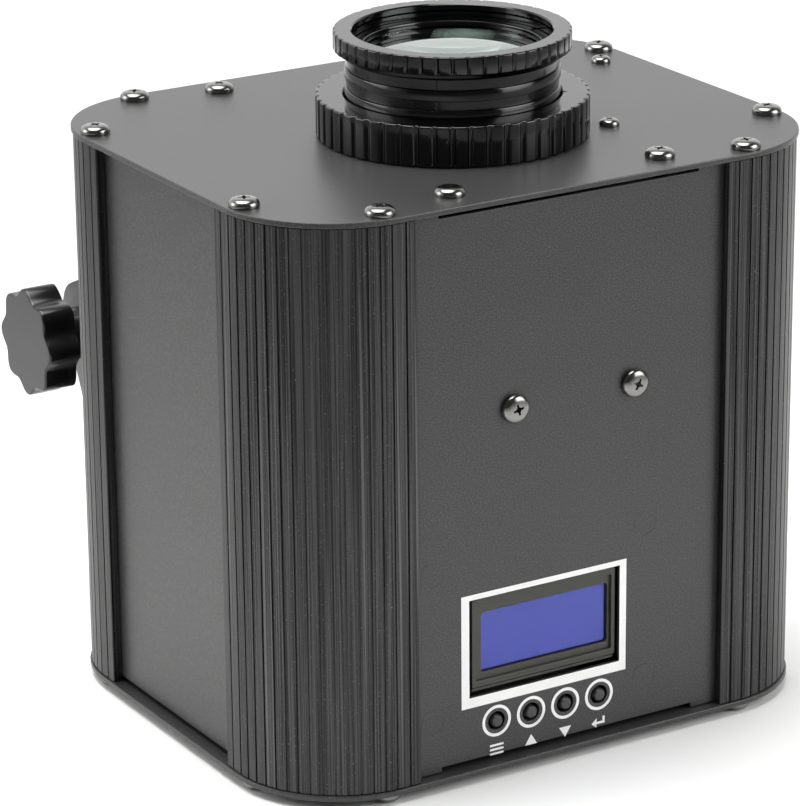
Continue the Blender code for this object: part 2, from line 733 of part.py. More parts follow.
def profile_inner_half():
    """The inside of one arm from its end towards the diagonal."""
    land = PANEL_RECESS - SEAT
    slot = land + PANEL_THICKNESS + 2 * SEAT
    lip = slot + PROFILE_LIP
    root = PROFILE_ARM - PROFILE_SLOT_DEPTH
    centre = boss_centre()
    radius = SCREW_HOLE + BOSS_WALL
    points = [
        (PROFILE_ARM, land),
        (root, land),
        (root, slot),
        (PROFILE_ARM, slot),
        (PROFILE_ARM, lip),
    ]
    start = math.asin((lip - centre[1]) / radius)
    wall_centre = (PROFILE_RADIUS, PROFILE_RADIUS)
    end_point = circles_meet(centre, radius, wall_centre, PROFILE_RADIUS - PROFILE_WALL)
    end = math.atan2(end_point[1] - centre[1], end_point[0] - centre[0]) % FULL
    for i in range(BOSS_STEPS + 1):
        a = start + (end - start) * i / BOSS_STEPS
        points.append((centre[0] + radius * math.cos(a), centre[1] + radius * math.sin(a)))
    return points


def profile_loops():
    """The profile's section: a ribbed round wall, two slotted arms and two screw bosses."""
    half_groove = GROOVE_WIDTH / 2
    outer = [profile_surface(0, 0)]
    for middle in groove_starts():
        low, high = middle - half_groove, middle + half_groove
        corners = ((low, 0), (low, GROOVE_DEPTH), (high, GROOVE_DEPTH), (high, 0))
        outer += [profile_surface(*corner) for corner in corners]
    outer.append(profile_surface(profile_length(), 0))
    first = profile_inner_half()
    last = [(y, x) for x, y in first]
    inner_radius = PROFILE_RADIUS - PROFILE_WALL
    start = math.atan2(last[-1][1] - PROFILE_RADIUS, last[-1][0] - PROFILE_RADIUS) % FULL
    end = math.atan2(first[-1][1] - PROFILE_RADIUS, first[-1][0] - PROFILE_RADIUS) % FULL
    arc = []
    for i in range(1, PROFILE_ARC_STEPS):
        a = start + (end - start) * i / PROFILE_ARC_STEPS
        x = PROFILE_RADIUS + inner_radius * math.cos(a)
        arc.append((x, PROFILE_RADIUS + inner_radius * math.sin(a)))
    loop = outer + last + arc + first[::-1]
    x, y = boss_centre()
    return [loop, screw_hole((x, y)), screw_hole((y, x))]


def corner_profiles():
    """Four lengths of the same extrusion, one at each corner."""
    length = PROFILE_HEAD - PROFILE_FOOT
    sides = {"front": -1, "rear": 1, "left": -1, "right": 1}
    for depth_side in ("front", "rear"):
        for width_side in ("left", "right"):
            sx, sy = sides[width_side], sides[depth_side]
            loops = []
            for loop in profile_loops():
                mapped = [(sx * (PROFILE_HALF[0] - x), sy * (PROFILE_HALF[1] - y)) for x, y in loop]
                loops.append(mapped)
            name = "corner_profile_" + depth_side + "_" + width_side
            at = (0, 0, PROFILE_FOOT + length / 2)
            add(name, flat_mesh(loops, length), black_aluminium(), at=at)


def panel_outline(half_width):
    """A plain panel that slides in two profiles and stops short of the bottom plate."""
    foot = PROFILE_FOOT + PANEL_FOOT_GAP
    return [
        (-half_width, foot),
        (half_width, foot),
        (half_width, PROFILE_HEAD),
        (-half_width, PROFILE_HEAD),
    ]


def tabbed_outline(half_width):
    """A panel whose middle is lower and shorter, where its tabs are bent inwards."""
    tab = TAB_WIDTH / 2
    bend = PANEL_THICKNESS * TAB_BEND_SHARE
    foot, head = PROFILE_FOOT + PANEL_FOOT_GAP + bend, PROFILE_HEAD - TAB_RELIEF - bend
    return [
        (-half_width, PROFILE_FOOT),
        (-tab, PROFILE_FOOT),
        (-tab, foot),
        (tab, foot),
        (tab, PROFILE_FOOT),
        (half_width, PROFILE_FOOT),
        (half_width, PROFILE_HEAD),
        (tab, PROFILE_HEAD),
        (tab, head),
        (-tab, head),
        (-tab, PROFILE_HEAD),
        (-half_width, PROFILE_HEAD),
    ]


def panel_half(profile_half):
    """Half the width of a panel that reaches into the slots of two profiles."""
    return profile_half - PROFILE_ARM + PROFILE_SLOT_DEPTH - SEAT


def tabs(face_y, side):
    """The two bent tabs of a panel, in the panel's own frame, with their screw holes."""
    inner = CASE_DEPTH / 2 - TAB_SCREW_INSET - TAB_BEYOND_SCREW
    outer = face_y - PANEL_THICKNESS * TAB_BEND_SHARE
    tab = box_mesh((TAB_WIDTH - TAB_RELIEF * 2, PANEL_THICKNESS, outer - inner))
    middle = side * (outer + inner) / 2
    foot = PROFILE_FOOT + PANEL_FOOT_GAP + PANEL_THICKNESS / 2
    head = PROFILE_HEAD - TAB_RELIEF - PANEL_THICKNESS / 2
    depth = -middle + side * (face_y - PANEL_THICKNESS / 2)
    pieces = [(tab, place((0, z, depth))) for z in (foot, head)]
    screw_depth = -side * (CASE_DEPTH / 2 - TAB_SCREW_INSET) + side * (face_y - PANEL_THICKNESS / 2)
    hole = rod_mesh(SCREW_HOLE, PANEL_THICKNESS + OVERRUN, SCREW_STEPS)
    holes = [
        (hole, place((x, z, screw_depth), (QUARTER, 0, 0)))
        for x in (-TAB_SCREW_X, TAB_SCREW_X)
        for z in (foot, head)
    ]
    return pieces, holes


def bridge_screw_places(heights):
    """Screws in the front and rear panels, as (x, z)."""
    half = BRIDGE_SCREW_SPACING / 2
    return [(BRIDGE_SCREW_X + s * half, z) for z in heights for s in (-1, 1)]


def button_places():
    return [BUTTON_FIRST_X + BUTTON_PITCH * i for i in range(len(BUTTON_NAMES))]


def front_panel():
    loops = [tabbed_outline(panel_half(PROFILE_HALF[0]))]
    loops.append(rectangle(*WINDOW_SIZE, WINDOW_CENTRE))
    loops += [circle(BUTTON_HOLE_RADIUS, SMALL_STEPS, (x, BUTTON_Z)) for x in button_places()]
    loops += [screw_hole(p) for p in bridge_screw_places([BRIDGE_SCREW_Z])]
    mesh = flat_mesh(loops, PANEL_THICKNESS)
    at = (0, -PANEL_FACE_Y + PANEL_THICKNESS / 2, 0)
    panel = add("front_panel", mesh, powder_coat(), at=at, turn=FACE_BACK)
    pieces, holes = tabs(PANEL_FACE_Y, -1)
    boolean(panel, pieces, "UNION")
    boolean(panel, holes)


def lower_bracket_screw_z():
    """The hinge bracket's screws lie evenly above and below its pivot."""
    return 2 * PIVOT_Z - BRIDGE_SCREW_Z


def rear_panel():
    loops = [tabbed_outline(panel_half(PROFILE_HALF[0]))]
    heights = [BRIDGE_SCREW_Z, lower_bracket_screw_z()]
    loops += [screw_hole(p) for p in bridge_screw_places(heights)]
    beside = round((OPEN_HALF[0] - VENT_SIDE_MARGIN) / VENT_PITCH)
    for i in range(-beside, beside + 1):
        centre = (VENT_PITCH * i, TOP - VENT_DROP)
        loops.append(rectangle(VENT_WIDTH, VENT_HEIGHT, centre))
    mesh = flat_mesh(loops, PANEL_THICKNESS)
    at = (0, PANEL_FACE_Y - PANEL_THICKNESS / 2, 0)
    panel = add("rear_panel", mesh, powder_coat(), at=at, turn=FACE_BACK)
    pieces, holes = tabs(PANEL_FACE_Y, 1)
    boolean(panel, pieces, "UNION")
    boolean(panel, holes)


def side_panels():
    for name, side in (("left_panel", -1), ("right_panel", 1)):
        mesh = flat_mesh([panel_outline(panel_half(PROFILE_HALF[1]))], PANEL_THICKNESS)
        x = side * (PANEL_FACE_X - PANEL_THICKNESS / 2)
        add(name, mesh, powder_coat(), at=(x, 0, 0), turn=FACE_SIDE)


def screw_set(prefix, screw, places, turn=(0, 0, 0)):
    """One object for each screw of a kind, numbered in order."""
    for number, at in enumerate(places, start=1):
        add(prefix + str(number), screw, bright_zinc(), at=at, turn=turn)


def screws():
    """The screws that show: in the top plate, and in the front panel."""
    large, small = m4_screw(), m3_screw()
    screw_set("top_screw_", large, [(x, y, TOP) for x, y in plate_screw_places()])
    screw_set("bracket_screw_", small, [(x, y, TOP) for x, y in SMALL_SCREW_PLACES])
    places = bridge_screw_places([BRIDGE_SCREW_Z])
    front = [(x, -PANEL_FACE_Y, z) for x, z in places]
    screw_set("front_screw_", large, front, FACE_BACK)


def lens_sleeve():
    """The tube through the top plate that guides the barrel and carries the collar."""
    flange_top = TOP + SEAT + SLEEVE_FLANGE_HEIGHT
    neck_top = TOP + SLEEVE_NECK
    foot = UNDER_TOP - SLEEVE_DROP
    flange = SLEEVE_RADIUS + SLEEVE_FLANGE
    profile = [
        (SLEEVE_RADIUS, neck_top),
        (SLEEVE_RADIUS, flange_top),
        (flange, flange_top),
        (flange, TOP + SEAT),
        (SLEEVE_RADIUS, TOP + SEAT),
        (SLEEVE_RADIUS, foot),
        (SLEEVE_BORE, foot),
        (SLEEVE_BORE, neck_top),
    ]
    mesh = turned_mesh(profile, ROUND_STEPS)
    sleeve = add("lens_sleeve", mesh, moulded_black(), at=(0, LENS_Y, 0))
    pin_end = BARREL_RADIUS - KEY_DEPTH + SEAT
    pin_head = SLEEVE_RADIUS + PIN_HEAD_PROUD
    pin = rod_mesh(PIN_RADIUS, pin_head - pin_end, SCREW_STEPS)
    at = (0, (pin_end + pin_head) / 2, UNDER_TOP - PIN_BELOW_PLATE)
    boolean(sleeve, [(pin, place(at, (QUARTER, 0, 0)))], "UNION")
    smooth(sleeve)


def sleeve_nut():
    """The ring nut that clamps the sleeve to the top plate from below."""
    bore = SLEEVE_RADIUS + SEAT
    head = UNDER_TOP - SEAT
    foot = head - SLEEVE_NUT_HEIGHT
    outer = SLEEVE_NUT_RADIUS
    profile = [(outer, head), (outer, foot), (bore, foot), (bore, head)]
    add("sleeve_nut", turned_mesh(profile, ROUND_STEPS), moulded_black(), at=(0, LENS_Y, 0))


def ribbed_circle(radius):
    """The outline of a grip ring with straight ribs and a pointed groove between them."""
    points = []
    step = FULL / RIB_COUNT
    crest = step * RIB_CREST_SHARE / 2
    for i in range(RIB_COUNT):
        rib = ((-crest, radius), (crest, radius), (step / 2, radius - RIB_DEPTH))
        for turn, r in rib:
            a = step * i + turn
            points.append((r * math.cos(a), r * math.sin(a)))
    return points


def focus_collar():
    """The ribbed ring at the foot of the barrel, turned on the sleeve's neck to focus."""
    foot, head = TOP + SEAT, TOP + COLLAR_TOP
    loops = [ribbed_circle(COLLAR_RADIUS), circle(COLLAR_LIP_BORE, ROUND_STEPS)]
    mesh = flat_mesh(loops, head - foot)
    at = (0, LENS_Y, (foot + head) / 2)
    collar = add("focus_collar", mesh, moulded_black(), at=at)
    neck = SLEEVE_RADIUS + SEAT
    flange = SLEEVE_RADIUS + SLEEVE_FLANGE + SEAT
    neck_top = SLEEVE_NECK + SEAT
    flange_top = SLEEVE_FLANGE_HEIGHT + SEAT * 2
    profile = [
        (0, neck_top),
        (neck, neck_top),
        (neck, flange_top),
        (flange, flange_top),
        (flange, -OVERRUN),
        (0, -OVERRUN),
    ]
    hollow = turned_mesh(profile, ROUND_STEPS, closed=False)
    boolean(collar, [(hollow, place((0, 0, TOP - at[2])))])
    smooth(collar)


def barrel_outer():
    """The barrel's outer side from top to bottom, with its two low flat bands."""
    points = [(BARREL_RADIUS, TOP + BARREL_TOP)]
    for head in RIDGE_HEADS:
        high, low = TOP + head, TOP + head - RIDGE_HEIGHT
        points += [(BARREL_RADIUS, high), (BARREL_RADIUS + RIDGE_PROUD, high)]
        points += [(BARREL_RADIUS + RIDGE_PROUD, low), (BARREL_RADIUS, low)]
    points.append((BARREL_RADIUS, TOP - BARREL_BOTTOM))
    return points


def lens_barrel():
    """The sliding tube that holds the lens on a shoulder; a pin keys it to the sleeve."""
    foot = TOP - BARREL_BOTTOM
    seat = TOP + LENS_SEAT
    shoulder = BARREL_BORE - SHOULDER
    mouth = LENS_RADIUS + SEAT
    inner = [
        (BARREL_BORE, foot),
        (BARREL_BORE, seat - SHOULDER_HEIGHT),
        (shoulder, seat - SHOULDER_HEIGHT),
        (shoulder, seat),
        (mouth, seat),
        (mouth, TOP + BARREL_TOP),
    ]
    mesh = turned_mesh(barrel_outer() + inner, ROUND_STEPS)
    barrel = add("lens_barrel", mesh, moulded_black(), at=(0, LENS_Y, 0))
    pin = UNDER_TOP - PIN_BELOW_PLATE
    low = pin - FOCUS_TRAVEL_OUT - PIN_RADIUS - SEAT * 2
    high = pin + FOCUS_TRAVEL_IN + PIN_RADIUS + SEAT * 2
    key = box_mesh((KEY_WIDTH, KEY_DEPTH * 2, high - low))
    boolean(barrel, [(key, place((0, BARREL_RADIUS, (low + high) / 2)))])
    smooth(barrel)


def front_ring():
    """The ribbed ring screwed on the front end of the barrel."""
    foot, head = TOP + FRONT_RING_FOOT, TOP + FRONT_RING_TOP
    loops = [ribbed_circle(FRONT_RING_RADIUS), circle(FRONT_RING_BORE, ROUND_STEPS)]
    mesh = flat_mesh(loops, head - foot)
    at = (0, LENS_Y, (foot + head) / 2)
    ring = add("front_ring", mesh, moulded_black(), at=at)
    bore = BARREL_RADIUS + SEAT
    skirt_foot = foot - FRONT_RING_SKIRT
    skirt = [
        (FRONT_RING_SKIRT_RADIUS, foot + RIB_DEPTH),
        (FRONT_RING_SKIRT_RADIUS, foot),
        (bore + SEAT, skirt_foot),
        (bore, skirt_foot),
        (bore, foot + RIB_DEPTH),
    ]
    boolean(ring, [(turned_mesh(skirt, ROUND_STEPS), place((0, 0, -at[2])))], "UNION")
    hollow = [
        (0, TOP + BARREL_TOP + SEAT),
        (bore, TOP + BARREL_TOP + SEAT),
        (bore, skirt_foot - OVERRUN),
        (0, skirt_foot - OVERRUN),
    ]
    boolean(ring, [(turned_mesh(hollow, ROUND_STEPS, closed=False), place((0, 0, -at[2])))])
    smooth(ring)


def lens():
    """A plano-convex lens on the barrel's shoulder, held down by its retaining ring."""
    seat = TOP + LENS_SEAT + SEAT
    profile = []
    for i in range(LENS_RINGS + 1):
        share = i / LENS_RINGS
        profile.append((LENS_RADIUS * share, seat + LENS_EDGE + LENS_CROWN * (1 - share**2)))
    profile += [(LENS_RADIUS, seat), (0, seat)]
    mesh = turned_mesh(profile, ROUND_STEPS, closed=False)
    smooth(add("lens", mesh, lens_glass(), at=(0, LENS_Y, 0)))
    outer = LENS_RADIUS
    inner = outer - RETAINER_WIDTH
    crown = LENS_CROWN * (1 - (inner / outer) ** 2)
    low = seat + LENS_EDGE + crown + SEAT
    high = low + RETAINER_HEIGHT
    ring = [(outer, high), (outer, low), (inner, low), (inner, high)]
    mesh = turned_mesh(ring, ROUND_STEPS)
    smooth(add("retaining_ring", mesh, moulded_black(), at=(0, LENS_Y, 0)))


def heat_sink():
    """A finned extrusion that hangs from its base plate, above the fan."""
    half = HEAT_SINK_SIDE / 2
    foot = FAN_HEAD + SEAT
    web = HEAT_SINK_HEAD - HEAT_SINK_BASE
    pitch = (HEAT_SINK_SIDE - FIN_THICKNESS) / (FIN_COUNT - 1)
    outline = [(half, HEAT_SINK_HEAD), (-half, HEAT_SINK_HEAD)]
    for i in range(FIN_COUNT):
        left = -half + pitch * i
        right = left + FIN_THICKNESS
        if i:
            outline.append((left, web))
        outline += [(left, foot), (right, foot)]
        if i < FIN_COUNT - 1:
            outline.append((right, web))
    mesh = flat_mesh([outline], HEAT_SINK_SIDE)
    add("heat_sink", mesh, plain_aluminium(), at=(0, LENS_Y, 0), turn=FACE_BACK)


def led_board():
    """The LED board on the heat sink, with its emitter under a low dome."""
    mesh = box_mesh((LED_BOARD_SIDE, LED_BOARD_SIDE, LED_BOARD_THICKNESS))
    white = paint("white_led_board", (0.75, 0.75, 0.73), 0.5)
    board = add("led_board", mesh, white, at=(0, LENS_Y, (LED_FOOT + LED_HEAD) / 2))
    head = LED_BOARD_THICKNESS / 2 + EMITTER_HEIGHT
    rim = head - EMITTER_HEIGHT / 2
    profile = [(0, head), (EMITTER_RADIUS / 2, head), (EMITTER_RADIUS, rim)]
    profile += [(EMITTER_RADIUS, 0), (0, 0)]
    emitter = turned_mesh(profile, SMALL_STEPS, closed=False)
    boolean(board, [(emitter, place((0, 0, 0)))], "UNION")


def reflector():
    """A bright cup that stands on the LED board and opens towards the lenses."""
    spread = REFLECTOR_MOUTH_RADIUS - REFLECTOR_FOOT_RADIUS
    inner = []
    for i in range(REFLECTOR_RINGS + 1):
        share = i / REFLECTOR_RINGS
        radius = REFLECTOR_FOOT_RADIUS + spread * math.sqrt(share)
        inner.append((radius, REFLECTOR_FOOT + REFLECTOR_HEIGHT * share))
    outer = [(r + REFLECTOR_WALL, z) for r, z in reversed(inner)]
    mesh = turned_mesh(outer + inner, SMALL_STEPS * 2)
    bright = paint("bright_reflector", (0.85, 0.85, 0.86), 0.1, 1.0)
    smooth(add("reflector", mesh, bright, at=(0, LENS_Y, 0)))


def light_bridge():
    """A bent strip from the front panel to the rear one, which carries the heat sink."""
    outer = PANEL_BACK_Y - SEAT
    inner = outer - BRIDGE_THICKNESS
    foot = HEAT_SINK_HEAD + SEAT
    head = BRIDGE_SCREW_Z + BRIDGE_EDGE
    outline = [
        (-outer, head),
        (-outer, foot),
        (outer, foot),
        (outer, head),
        (inner, head),
        (inner, foot + BRIDGE_THICKNESS),
        (-inner, foot + BRIDGE_THICKNESS),
        (-inner, head),
    ]
    mesh = flat_mesh([outline], BRIDGE_WIDTH)
    bridge = add("light_bridge", mesh, plain_aluminium(), turn=FACE_SIDE)
    side = LED_BOARD_SIDE + SEAT * 2
    window = box_mesh((side, BRIDGE_THICKNESS + OVERRUN, side))
    pieces = [(window, place((LENS_Y, foot + BRIDGE_THICKNESS / 2, 0)))]
    hole = rod_mesh(SCREW_HOLE, (outer + OVERRUN) * 2, SCREW_STEPS)
    for x, z in bridge_screw_places([BRIDGE_SCREW_Z]):
        pieces.append((hole, place((0, z, x), (0, QUARTER, 0))))
    boolean(bridge, pieces)


def fan_frame():
    """A square fan frame with its motor seat on four struts at the lower face."""
    loops = [
        rounded_rectangle(FAN_SIDE, FAN_SIDE, FAN_CORNER_RADIUS, 2),
        circle(FAN_DUCT_RADIUS, SMALL_STEPS * 2),
    ]
    loops += [screw_hole((x, y - LENS_Y)) for x, y in fan_screw_places()]
    mesh = flat_mesh(loops, FAN_DEPTH)
    at = (0, LENS_Y, FAN_FOOT + FAN_DEPTH / 2)
    frame = add("fan_frame", mesh, moulded_black(), at=at)
    low = -FAN_DEPTH / 2 + FAN_STRUT_HEIGHT / 2
    seat = rod_mesh(FAN_HUB_RADIUS, FAN_STRUT_HEIGHT, SMALL_STEPS)
    reach = FAN_DUCT_RADIUS * 2 + OVERRUN
    boolean(frame, [(box_mesh((reach, FAN_STRUT_WIDTH, FAN_STRUT_HEIGHT)), place((0, 0, low)))], "UNION")
    boolean(frame, [(box_mesh((FAN_STRUT_WIDTH, reach, FAN_STRUT_HEIGHT)), place((0, 0, low)))], "UNION")
    boolean(frame, [(seat, place((0, 0, low)))], "UNION")
    bore = rod_mesh(FAN_SHAFT_RADIUS + SEAT, FAN_STRUT_HEIGHT + OVERRUN, SCREW_STEPS)
    boolean(frame, [(bore, place((0, 0, low)))])


def fan_rotor():
    """Hub, shaft and pitched blades, on the fan's axis."""
    foot = FAN_FOOT + FAN_STRUT_HEIGHT + FAN_HUB_FLOOR_GAP
    head = FAN_HEAD - SEAT * 2
    shaft_foot = FAN_FOOT + SEAT
    profile = [
        (0, head),
        (FAN_HUB_RADIUS, head),
        (FAN_HUB_RADIUS, foot),
        (FAN_SHAFT_RADIUS, foot),
        (FAN_SHAFT_RADIUS, shaft_foot),
        (0, shaft_foot),
    ]
    middle = (foot + head) / 2
    mesh = turned_mesh([(r, z - middle) for r, z in profile], SMALL_STEPS, closed=False)
    rotor = add("fan_rotor", mesh, moulded_black(), at=(0, LENS_Y, middle))
    tip = FAN_DUCT_RADIUS - BLADE_TIP_GAP
    root = FAN_HUB_RADIUS - OVERRUN
    blade = box_mesh((tip - root, BLADE_CHORD, BLADE_THICKNESS))
    blades = []
    for i in range(BLADE_COUNT):
        spin = Matrix.Rotation(FULL * i / BLADE_COUNT, 4, "Z")
        pitch = Matrix.Rotation(BLADE_PITCH, 4, "X")
        blades.append((blade, spin @ place(((tip + root) / 2, 0, 0)) @ pitch))
    boolean(rotor, blades, "UNION")


def contact_places():
    """The three contacts of a power socket: two in a row, the earth one offset."""
    return [
        (CONTACT_OFFSET, -CONTACT_PITCH),
        (-CONTACT_OFFSET, 0),
        (CONTACT_OFFSET, CONTACT_PITCH),
    ]


def power_shell(name, y):
    """A snap-in power socket: flange below the plate, body above it, mouth downwards."""
    mesh = box_mesh((*POWER_FLANGE, POWER_FLANGE_THICKNESS))
    at = (-SOCKET_X, y, POWER_MOUTH + POWER_FLANGE_THICKNESS / 2)
    shell = add(name, mesh, socket_black(), at=at)
    body = box_mesh((*POWER_BODY, POWER_BODY_DEPTH))
    boolean(shell, [(body, place((0, 0, (POWER_BODY_DEPTH - POWER_FLANGE_THICKNESS) / 2)))], "UNION")
    return shell


def power_sockets():
    """Inlet with blades and outlet with slots, side by side along Y."""
    inlet = power_shell("power_inlet", SOCKET_Y)
    cavity = box_mesh((*POWER_CAVITY, POWER_CAVITY_DEPTH + OVERRUN))
    mouth = -POWER_FLANGE_THICKNESS / 2
    middle = mouth + (POWER_CAVITY_DEPTH - OVERRUN) / 2
    boolean(inlet, [(cavity, place((0, 0, middle)))])
    foot, head = mouth + CONTACT_RECESS, mouth + (POWER_CAVITY_DEPTH + POWER_BODY_DEPTH) / 2
    blade = box_mesh((*BLADE_CONTACT, head - foot))
    centre = (foot + head) / 2
    boolean(inlet, [(blade, place((x, y, centre))) for x, y in contact_places()], "UNION")
    outlet = power_shell("power_outlet", -SOCKET_Y)
    loops = [rectangle(*POWER_CAVITY), rectangle(*POWER_BLOCK)]
    groove = flat_mesh(loops, POWER_CAVITY_DEPTH + OVERRUN)
    boolean(outlet, [(groove, place((0, 0, middle)))])
    slot = box_mesh((*SLOT_CONTACT, DATA_HOLE_DEPTH + OVERRUN))
    depth = mouth + (DATA_HOLE_DEPTH - OVERRUN) / 2
    boolean(outlet, [(slot, place((x, y, depth))) for x, y in contact_places()])


def data_pin_places():
    """Three pins on a circle, evenly spread."""
    return circle(DATA_PIN_CIRCLE, DATA_PIN_COUNT, start=QUARTER)


def data_shell(name, y):
    """A round data socket: flange above the plate, nose flush in the plate's hole."""
    foot = PLATE_THICKNESS + SEAT
    mesh = box_mesh((*DATA_FLANGE, DATA_FLANGE_THICKNESS))
    middle = foot + DATA_FLANGE_THICKNESS / 2
    shell = add(name, mesh, socket_black(), at=(SOCKET_X, y, middle))
    body = rod_mesh(DATA_NOSE_RADIUS, DATA_BODY_DEPTH, SMALL_STEPS)
    centre = DATA_MOUTH + DATA_BODY_DEPTH / 2 - middle
    boolean(shell, [(body, place((0, 0, centre)))], "UNION")
    return shell, middle


def data_sockets():
    """Inlet with pins and outlet with holes around a solid core."""
    inlet, middle = data_shell("data_inlet", SOCKET_Y)
    cavity = rod_mesh(DATA_CAVITY_RADIUS, DATA_CAVITY_DEPTH + OVERRUN, SMALL_STEPS)
    centre = DATA_MOUTH + (DATA_CAVITY_DEPTH - OVERRUN) / 2 - middle
    boolean(inlet, [(cavity, place((0, 0, centre)))])
    foot = DATA_MOUTH + CONTACT_RECESS - middle
    head = DATA_MOUTH + (DATA_CAVITY_DEPTH + DATA_BODY_DEPTH) / 2 - middle
    pin = rod_mesh(DATA_PIN_RADIUS, head - foot, SCREW_STEPS)
    pins = [(pin, place((x, y, (foot + head) / 2))) for x, y in data_pin_places()]
    boolean(inlet, pins, "UNION")
    outlet, middle = data_shell("data_outlet", -SOCKET_Y)
    latch = [side + SEAT * 2 for side in LATCH_SIZE]
    notch = box_mesh((*latch, DATA_FLANGE_THICKNESS + OVERRUN))
    x, y = latch_place()
    boolean(outlet, [(notch, place((x - SOCKET_X, y + SOCKET_Y, 0)))])
    loops = [circle(DATA_CAVITY_RADIUS, SMALL_STEPS), circle(DATA_CORE_RADIUS, SMALL_STEPS)]
    groove = flat_mesh(loops, DATA_CAVITY_DEPTH + OVERRUN)
    boolean(outlet, [(groove, place((0, 0, centre)))])
    hole = rod_mesh(DATA_HOLE_RADIUS, DATA_HOLE_DEPTH + OVERRUN, SCREW_STEPS)
    depth = DATA_MOUTH + (DATA_HOLE_DEPTH - OVERRUN) / 2 - middle
    boolean(outlet, [(hole, place((x, y, depth))) for x, y in data_pin_places()])


def data_latch():
    """The push tab that frees a plug from the data outlet."""
    x, y = latch_place()
    foot = -LATCH_PROUD
    mesh = box_mesh((*LATCH_SIZE, LATCH_LENGTH))
    add("data_latch", mesh, bright_zinc(), at=(x, y, foot + LATCH_LENGTH / 2))


def board(name, size, at, turn, side):
    """A circuit board that faces local Z, with four hexagonal spacers fixed on one side."""
    item = add(name, box_mesh((*size, BOARD_THICKNESS)), board_green(), at=at, turn=turn)
    reach = BOARD_THICKNESS / 2 + SPACER_LENGTH
    spacer = rod_mesh(SPACER_RADIUS, reach, SPACER_STEPS)
    x, y = [half / 2 - SPACER_INSET for half in size]
    corners = ((x, y), (-x, y), (-x, -y), (x, -y))
    boolean(item, [(spacer, place((*p, side * reach / 2))) for p in corners], "UNION")
    return item


def board_middle(panel_face):
    """Middle of a board that stands on its spacers before a flat face."""
    return panel_face - BOARD_FACE - BOARD_THICKNESS / 2


def standing(depth):
    """Middle height of a block that stands on a board, sunk in it by half its thickness."""
    return (BOARD_THICKNESS / 2 + depth) / 2


def shared(sizes, shares):
    """Each size times its share."""
    return [size * share for size, share in zip(sizes, shares)]


def power_board():
    """The supply's board on the left panel, with its transformer and capacitors."""
    at = (-board_middle(PANEL_BACK_X), 0, POWER_BOARD_FOOT + POWER_BOARD[1] / 2)
    item = board("power_board", POWER_BOARD, at, FACE_SIDE, -1)
    sunk = BOARD_THICKNESS / 2
    can = rod_mesh(CAPACITOR_RADIUS, sunk + CAPACITOR_LENGTH, SMALL_STEPS)
    places = [shared(POWER_BOARD, shares) for shares in CAPACITOR_PLACE_SHARES]
    pieces = [(can, place((*p, standing(CAPACITOR_LENGTH)))) for p in places]
    centre = shared(POWER_BOARD, TRANSFORMER_PLACE_SHARES)
    size = shared(POWER_BOARD, TRANSFORMER_CORE_SHARES)
    core = box_mesh((*size, sunk + TRANSFORMER_DEPTH))
    pieces.append((core, place((*centre, standing(TRANSFORMER_DEPTH)))))
    boolean(item, pieces, "UNION")
    size = shared(POWER_BOARD, TRANSFORMER_COIL_SHARES)
    coil = box_mesh((*size, sunk + COIL_DEPTH))
    boolean(item, [(coil, place((*centre, standing(COIL_DEPTH))))], "UNION")


def control_leg_x():
    """Inner face of the leg that carries the control board."""
    return BRACKET_OUTER_X - BRACKET_THICKNESS


def control_board():
    """The board that reads the data line and drives the LED, on its bracket."""
    at = (board_middle(control_leg_x()), 0, CONTROL_BOARD_FOOT + CONTROL_BOARD[1] / 2)
    board("control_board", CONTROL_BOARD, at, FACE_SIDE, 1)


def display_board():
    """The board behind the front panel, with the switches that the buttons press."""
    x, z = DISPLAY_BOARD_CENTRE
    at = (x, -board_middle(PANEL_BACK_Y), z)
    item = board("display_board", DISPLAY_BOARD, at, FACE_BACK, 1)
    switch = box_mesh((SWITCH_SIDE, SWITCH_SIDE, BOARD_THICKNESS / 2 + SWITCH_HEIGHT))
    places = [(v - x, BUTTON_Z - z) for v in button_places()]
    pieces = [(switch, place((*p, standing(SWITCH_HEIGHT)))) for p in places]
    boolean(item, pieces, "UNION")
    well = rod_mesh(BUTTON_RADIUS + SEAT, SWITCH_WELL * 2, SCREW_STEPS)
    mouth = BOARD_THICKNESS / 2 + SWITCH_HEIGHT
    boolean(item, [(well, place((*p, mouth))) for p in places])


def board_bracket():
    """An angle hung from the top plate by the two small screws, with a leg for the board."""
    head = UNDER_TOP - SEAT
    foot = CONTROL_BOARD_FOOT
    inner = control_leg_x()
    outline = [
        (BRACKET_INNER_X, head),
        (BRACKET_INNER_X, head - BRACKET_THICKNESS),
        (inner, head - BRACKET_THICKNESS),
        (inner, foot),
        (BRACKET_OUTER_X, foot),
        (BRACKET_OUTER_X, head),
    ]
    low, high = BRACKET_Y
    mesh = flat_mesh([outline], high - low)
    at = (0, (low + high) / 2, 0)
    bracket = add("board_bracket", mesh, plain_aluminium(), at=at, turn=FACE_BACK)
    hole = rod_mesh(M3_RADIUS + SEAT, BRACKET_THICKNESS + OVERRUN, SCREW_STEPS)
    pieces = []
    for x, y in SMALL_SCREW_PLACES:
        local = (x, head - BRACKET_THICKNESS / 2, at[1] - y)
        pieces.append((hole, place(local, (QUARTER, 0, 0))))
    boolean(bracket, pieces)


